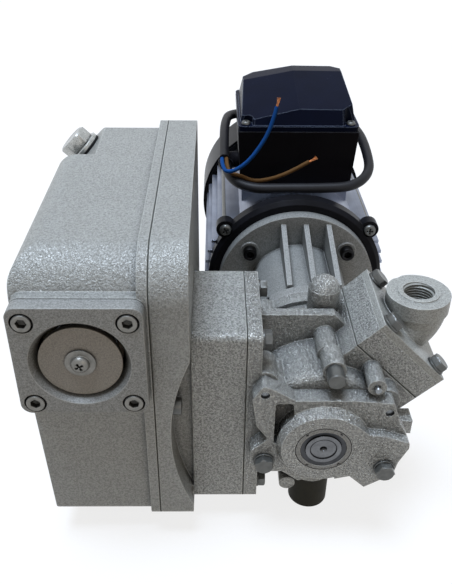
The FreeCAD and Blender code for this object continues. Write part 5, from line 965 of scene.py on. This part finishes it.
# Section of a bearing's seal in mm: radius, and depth below its face.
SEAL_DISH = ((10.5, 0.75), (10.5, 0.45), (11.7, 0.45), (12.6, 0.05), (13.1, 0), (13.1, 0.75),
             (10.5, 0.75))


class PUMP_OT_bearing_face(bpy.types.Operator):
    """The front bearing's dished seals, the joints round its rings and its stake marks"""
    bl_idname = "pump.bearing_face"
    bl_label = "Bearing face"

    def execute(self, context):
        bm = bmesh.new()
        for points in islands("bearing_seals"):
            low, high = box_of(points)
            out, face = (TO_FRONT, low.y) if low.y < 0 else (TO_REAR, high.y)
            rings = [ring_of(radius * MM, -depth * MM) for radius, depth in SEAL_DISH]
            add_rings(bm, rings, placed(Vector((0, face, SHAFT_Z)), out), False, False)
        piece = new_piece("bearing_seals_dished", bm, "seal_steel")
        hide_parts("bearing_seals")
        self.joint("bearing_seat_joint", 15.7, 16.15, FRAME_BODY, stakes=(0.9, 2.3, 4.1, 5.4))
        self.joint("shaft_nose_joint", 7.3, 7.75, "shaft")
        return {"FINISHED"}

    def joint(self, name, inner, outer, body, stakes=()):
        """A dark line between two radii in mm on the hub's face, painted shade of the joint's gap
        with grime in it, and stake marks at angles.
        """
        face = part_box("bearing_outer_rings")[0].y
        matrix = placed(Vector((0, face, SHAFT_Z)), TO_FRONT)
        lift = 0.04 * MM
        bm = bmesh.new()
        # Painted shade with grime: a thin dark sheet laid where the joint's gap is.
        rings = [ring_of(radius * MM, height, count=72) for radius, height in
                 ((inner, -lift), (inner, lift), (outer, lift), (outer, -lift), (inner, -lift))]
        add_rings(bm, rings, matrix, False, False)
        for turn in stakes:
            # A wedge that widens outwards: radius in mm, and the angles of its corners.
            mark = []
            for height in (-lift, lift):
                ring = []
                for radius, angles in ((14.4, (-0.05, 0.05)), (15.3, (0.07, -0.07))):
                    ring += [(radius * MM * math.cos(turn + angle),
                              radius * MM * math.sin(turn + angle), height) for angle in angles]
                mark.append(ring)
            add_rings(bm, mark, matrix)
        piece = new_piece(name, bm, "black_steel", body)


def photo_axes(look):
    """The camera's own right, up and forward directions."""
    forward = Vector((-math.sin(look.yaw) * math.cos(look.pitch),
                      math.cos(look.yaw) * math.cos(look.pitch), -math.sin(look.pitch)))
    level = Vector((math.cos(look.yaw), math.sin(look.yaw), 0))
    upright = level.cross(forward)
    right = level * math.cos(look.roll) + upright * math.sin(look.roll)
    up = upright * math.cos(look.roll) - level * math.sin(look.roll)
    return right, up, forward


def sky_lamp(name, toward, strength, colour):
    """Broad light from one side of the sky, as a large window gives."""
    data = bpy.data.lights.new(name, "SUN")
    data.energy = strength
    data.angle = math.radians(26)
    data.color = linear(colour)[:3]
    lamp = in_scene(name, data)
    lamp.rotation_mode = "QUATERNION"
    lamp.rotation_quaternion = Vector(toward).to_track_quat("Z", "Y")


def soft_lamp(name, place, target, size, power, colour):
    """A square area lamp aimed at a point."""
    data = bpy.data.lights.new(name, "AREA")
    data.shape = "RECTANGLE"
    data.size, data.size_y = size
    data.energy = power
    data.color = linear(colour)[:3]
    lamp = in_scene(name, data)
    lamp.location = place
    lamp.rotation_mode = "QUATERNION"
    lamp.rotation_quaternion = (Vector(target) - Vector(place)).to_track_quat("-Z", "Y")


class PUMP_OT_studio(bpy.types.Operator):
    """White floor, soft lamps and the photograph's camera"""
    bl_idname = "pump.studio"
    bl_label = "Studio"

    def execute(self, context):
        scene = context.scene
        look = studio()
        data = bpy.data.cameras.new("camera")
        data.sensor_width = FILM_SIZE
        data.lens = look.focal_pixels / PHOTO_HEIGHT * FILM_SIZE
        data.clip_start, data.clip_end = 0.01, 20.0
        camera = in_scene("camera", data)
        right, up, forward = photo_axes(look)
        camera.rotation_mode = "QUATERNION"
        turn = Matrix((right, up, -forward)).transposed()
        camera.rotation_quaternion = turn.to_quaternion()
        camera.location = look.camera_place
        scene.camera = camera

        bm = bmesh.new()
        reach, below = 4, 0.2 * MM
        bm.faces.new([bm.verts.new((reach * x, reach * y, -below))
                      for x, y in ((-1, -1), (1, -1), (1, 1), (-1, 1))])
        mesh = bpy.data.meshes.new("studio_floor")
        bm.to_mesh(mesh)
        bm.free()
        floor = in_scene("studio_floor", mesh)
        floor.data.materials.append(self.paper())
        self.room(scene, look)
        centre = (-0.04, 0.12, 0.09)
        sky_lamp("window_light", (-0.15, -0.04, 1.0), look.key_power, "#dcebff")
        soft_lamp("fill_lamp", (0.55, -1.1, 0.55), centre, (0.8, 0.8), look.fill_power, "#ffdcb6")
        scene.view_settings.view_transform = "Standard"
        return {"FINISHED"}

    def paper(self):
        """Matt white paper on a brown bench, whose warm light reaches the object's fronts."""
        material, tree, place = new_material("white_studio_paper")
        fibre = add_node(tree, "ShaderNodeTexNoise", links={"Vector": place},
                         values={"Scale": per_mm(2.0), "Detail": 3.0}).outputs["Fac"]
        tone = add_node(tree, "ShaderNodeValToRGB", links={"Fac": fibre}, stops=[
            (0.3, linear("#f4f4f4")), (0.7, linear("#f8f8f8"))]).outputs["Color"]
        bench = add_node(tree, "ShaderNodeValToRGB", links={"Fac": fibre}, stops=[
            (0.3, linear("#766550")), (0.7, linear("#7d6c56"))]).outputs["Color"]
        white = add_node(tree, "ShaderNodeEmission", values={"Color": grey(1.0), "Strength": 1.0})
        seen = self.seen_directly(tree)
        under = add_node(tree, "ShaderNodeMix", settings={"data_type": "RGBA"},
                         links={"Factor": seen, "A": bench, "B": tone}).outputs["Result"]
        paper = add_node(tree, "ShaderNodeBsdfDiffuse", links={"Color": under})
        share = add_node(tree, "ShaderNodeMath", settings={"operation": "MULTIPLY"},
                         values={1: 0.8}, links={0: seen})
        mix = add_node(tree, "ShaderNodeMixShader",
                       links={0: share.outputs["Value"], 1: paper.outputs["BSDF"],
                              2: white.outputs["Emission"]})
        add_node(tree, "ShaderNodeOutputMaterial", links={"Surface": mix.outputs["Shader"]})
        return material

    def seen_directly(self, tree):
        """1 for rays from the camera, and for those a mirror or glass sends on."""
        path = add_node(tree, "ShaderNodeLightPath")
        first = add_node(tree, "ShaderNodeMath", settings={"operation": "MAXIMUM"},
                         links={0: path.outputs["Is Camera Ray"],
                                1: path.outputs["Is Glossy Ray"]})
        return add_node(tree, "ShaderNodeMath", settings={"operation": "MAXIMUM"},
                        links={0: first.outputs["Value"],
                               1: path.outputs["Is Transmission Ray"]}).outputs["Value"]

    def room(self, scene, look):
        """An even room, bright above and dimmer towards the horizon."""
        world = bpy.data.worlds.new("studio_room")
        scene.world = world
        world.use_nodes = True
        tree = world.node_tree
        tree.nodes.clear()
        ray = add_node(tree, "ShaderNodeTexCoord").outputs["Generated"]
        height = add_node(tree, "ShaderNodeSeparateXYZ", links={"Vector": ray}).outputs["Z"]
        tone = add_node(tree, "ShaderNodeValToRGB", links={"Fac": height}, stops=[
            (0.0, linear("#8d8a84")), (0.25, linear("#a9a7a2")),
            (0.8, linear("#ffffff"))]).outputs["Color"]
        room = add_node(tree, "ShaderNodeBackground", values={"Strength": look.world_level},
                        links={"Color": tone})
        white = add_node(tree, "ShaderNodeBackground",
                         values={"Color": grey(1.0), "Strength": 1.0})
        mix = add_node(tree, "ShaderNodeMixShader",
                       links={0: self.seen_directly(tree), 1: room.outputs["Background"],
                              2: white.outputs["Background"]})
        add_node(tree, "ShaderNodeOutputWorld", links={"Surface": mix.outputs["Shader"]})


OPERATORS = (PUMP_OT_studio, PUMP_OT_finishes, PUMP_OT_cords, PUMP_OT_socket_screws,
             PUMP_OT_hex_bolts, PUMP_OT_cross_screws, PUMP_OT_filler_plug,
             PUMP_OT_inlet_thread, PUMP_OT_bearing_face)


class PUMP_PT_panel(bpy.types.Panel):
    """Lists the pump's finishes, sizes and pieces"""
    bl_idname = "PUMP_PT_panel"
    bl_label = "Vacuum Pump"
    bl_space_type = "VIEW_3D"
    bl_region_type = "UI"
    bl_category = "Vacuum Pump"

    def draw(self, context):
        scene = context.scene
        for group in (scene.pump_finishes, scene.pump_sizes, scene.pump_studio):
            box = self.layout.box()
            for name in group.__annotations__:
                box.prop(group, name)
        for operator in OPERATORS:
            self.layout.operator(operator.bl_idname)


CLASSES = (PumpFinishes, PumpSizes, PumpStudio) + OPERATORS + (PUMP_PT_panel,)


def register():
    for entry in CLASSES:
        bpy.utils.register_class(entry)
    bpy.types.Scene.pump_finishes = bpy.props.PointerProperty(type=PumpFinishes)
    bpy.types.Scene.pump_sizes = bpy.props.PointerProperty(type=PumpSizes)
    bpy.types.Scene.pump_studio = bpy.props.PointerProperty(type=PumpStudio)


def unregister():
    del bpy.types.Scene.pump_studio
    del bpy.types.Scene.pump_sizes
    del bpy.types.Scene.pump_finishes
    for entry in reversed(CLASSES):
        bpy.utils.unregister_class(entry)


def main():
    """Run every operator in order."""
    register()
    bpy.ops.pump.studio()
    bpy.ops.pump.finishes()
    bpy.ops.pump.cords()
    bpy.ops.pump.socket_screws()
    bpy.ops.pump.hex_bolts()
    bpy.ops.pump.cross_screws()
    bpy.ops.pump.filler_plug()
    bpy.ops.pump.inlet_thread()
    bpy.ops.pump.bearing_face()


if __name__ == "__main__":
    main()
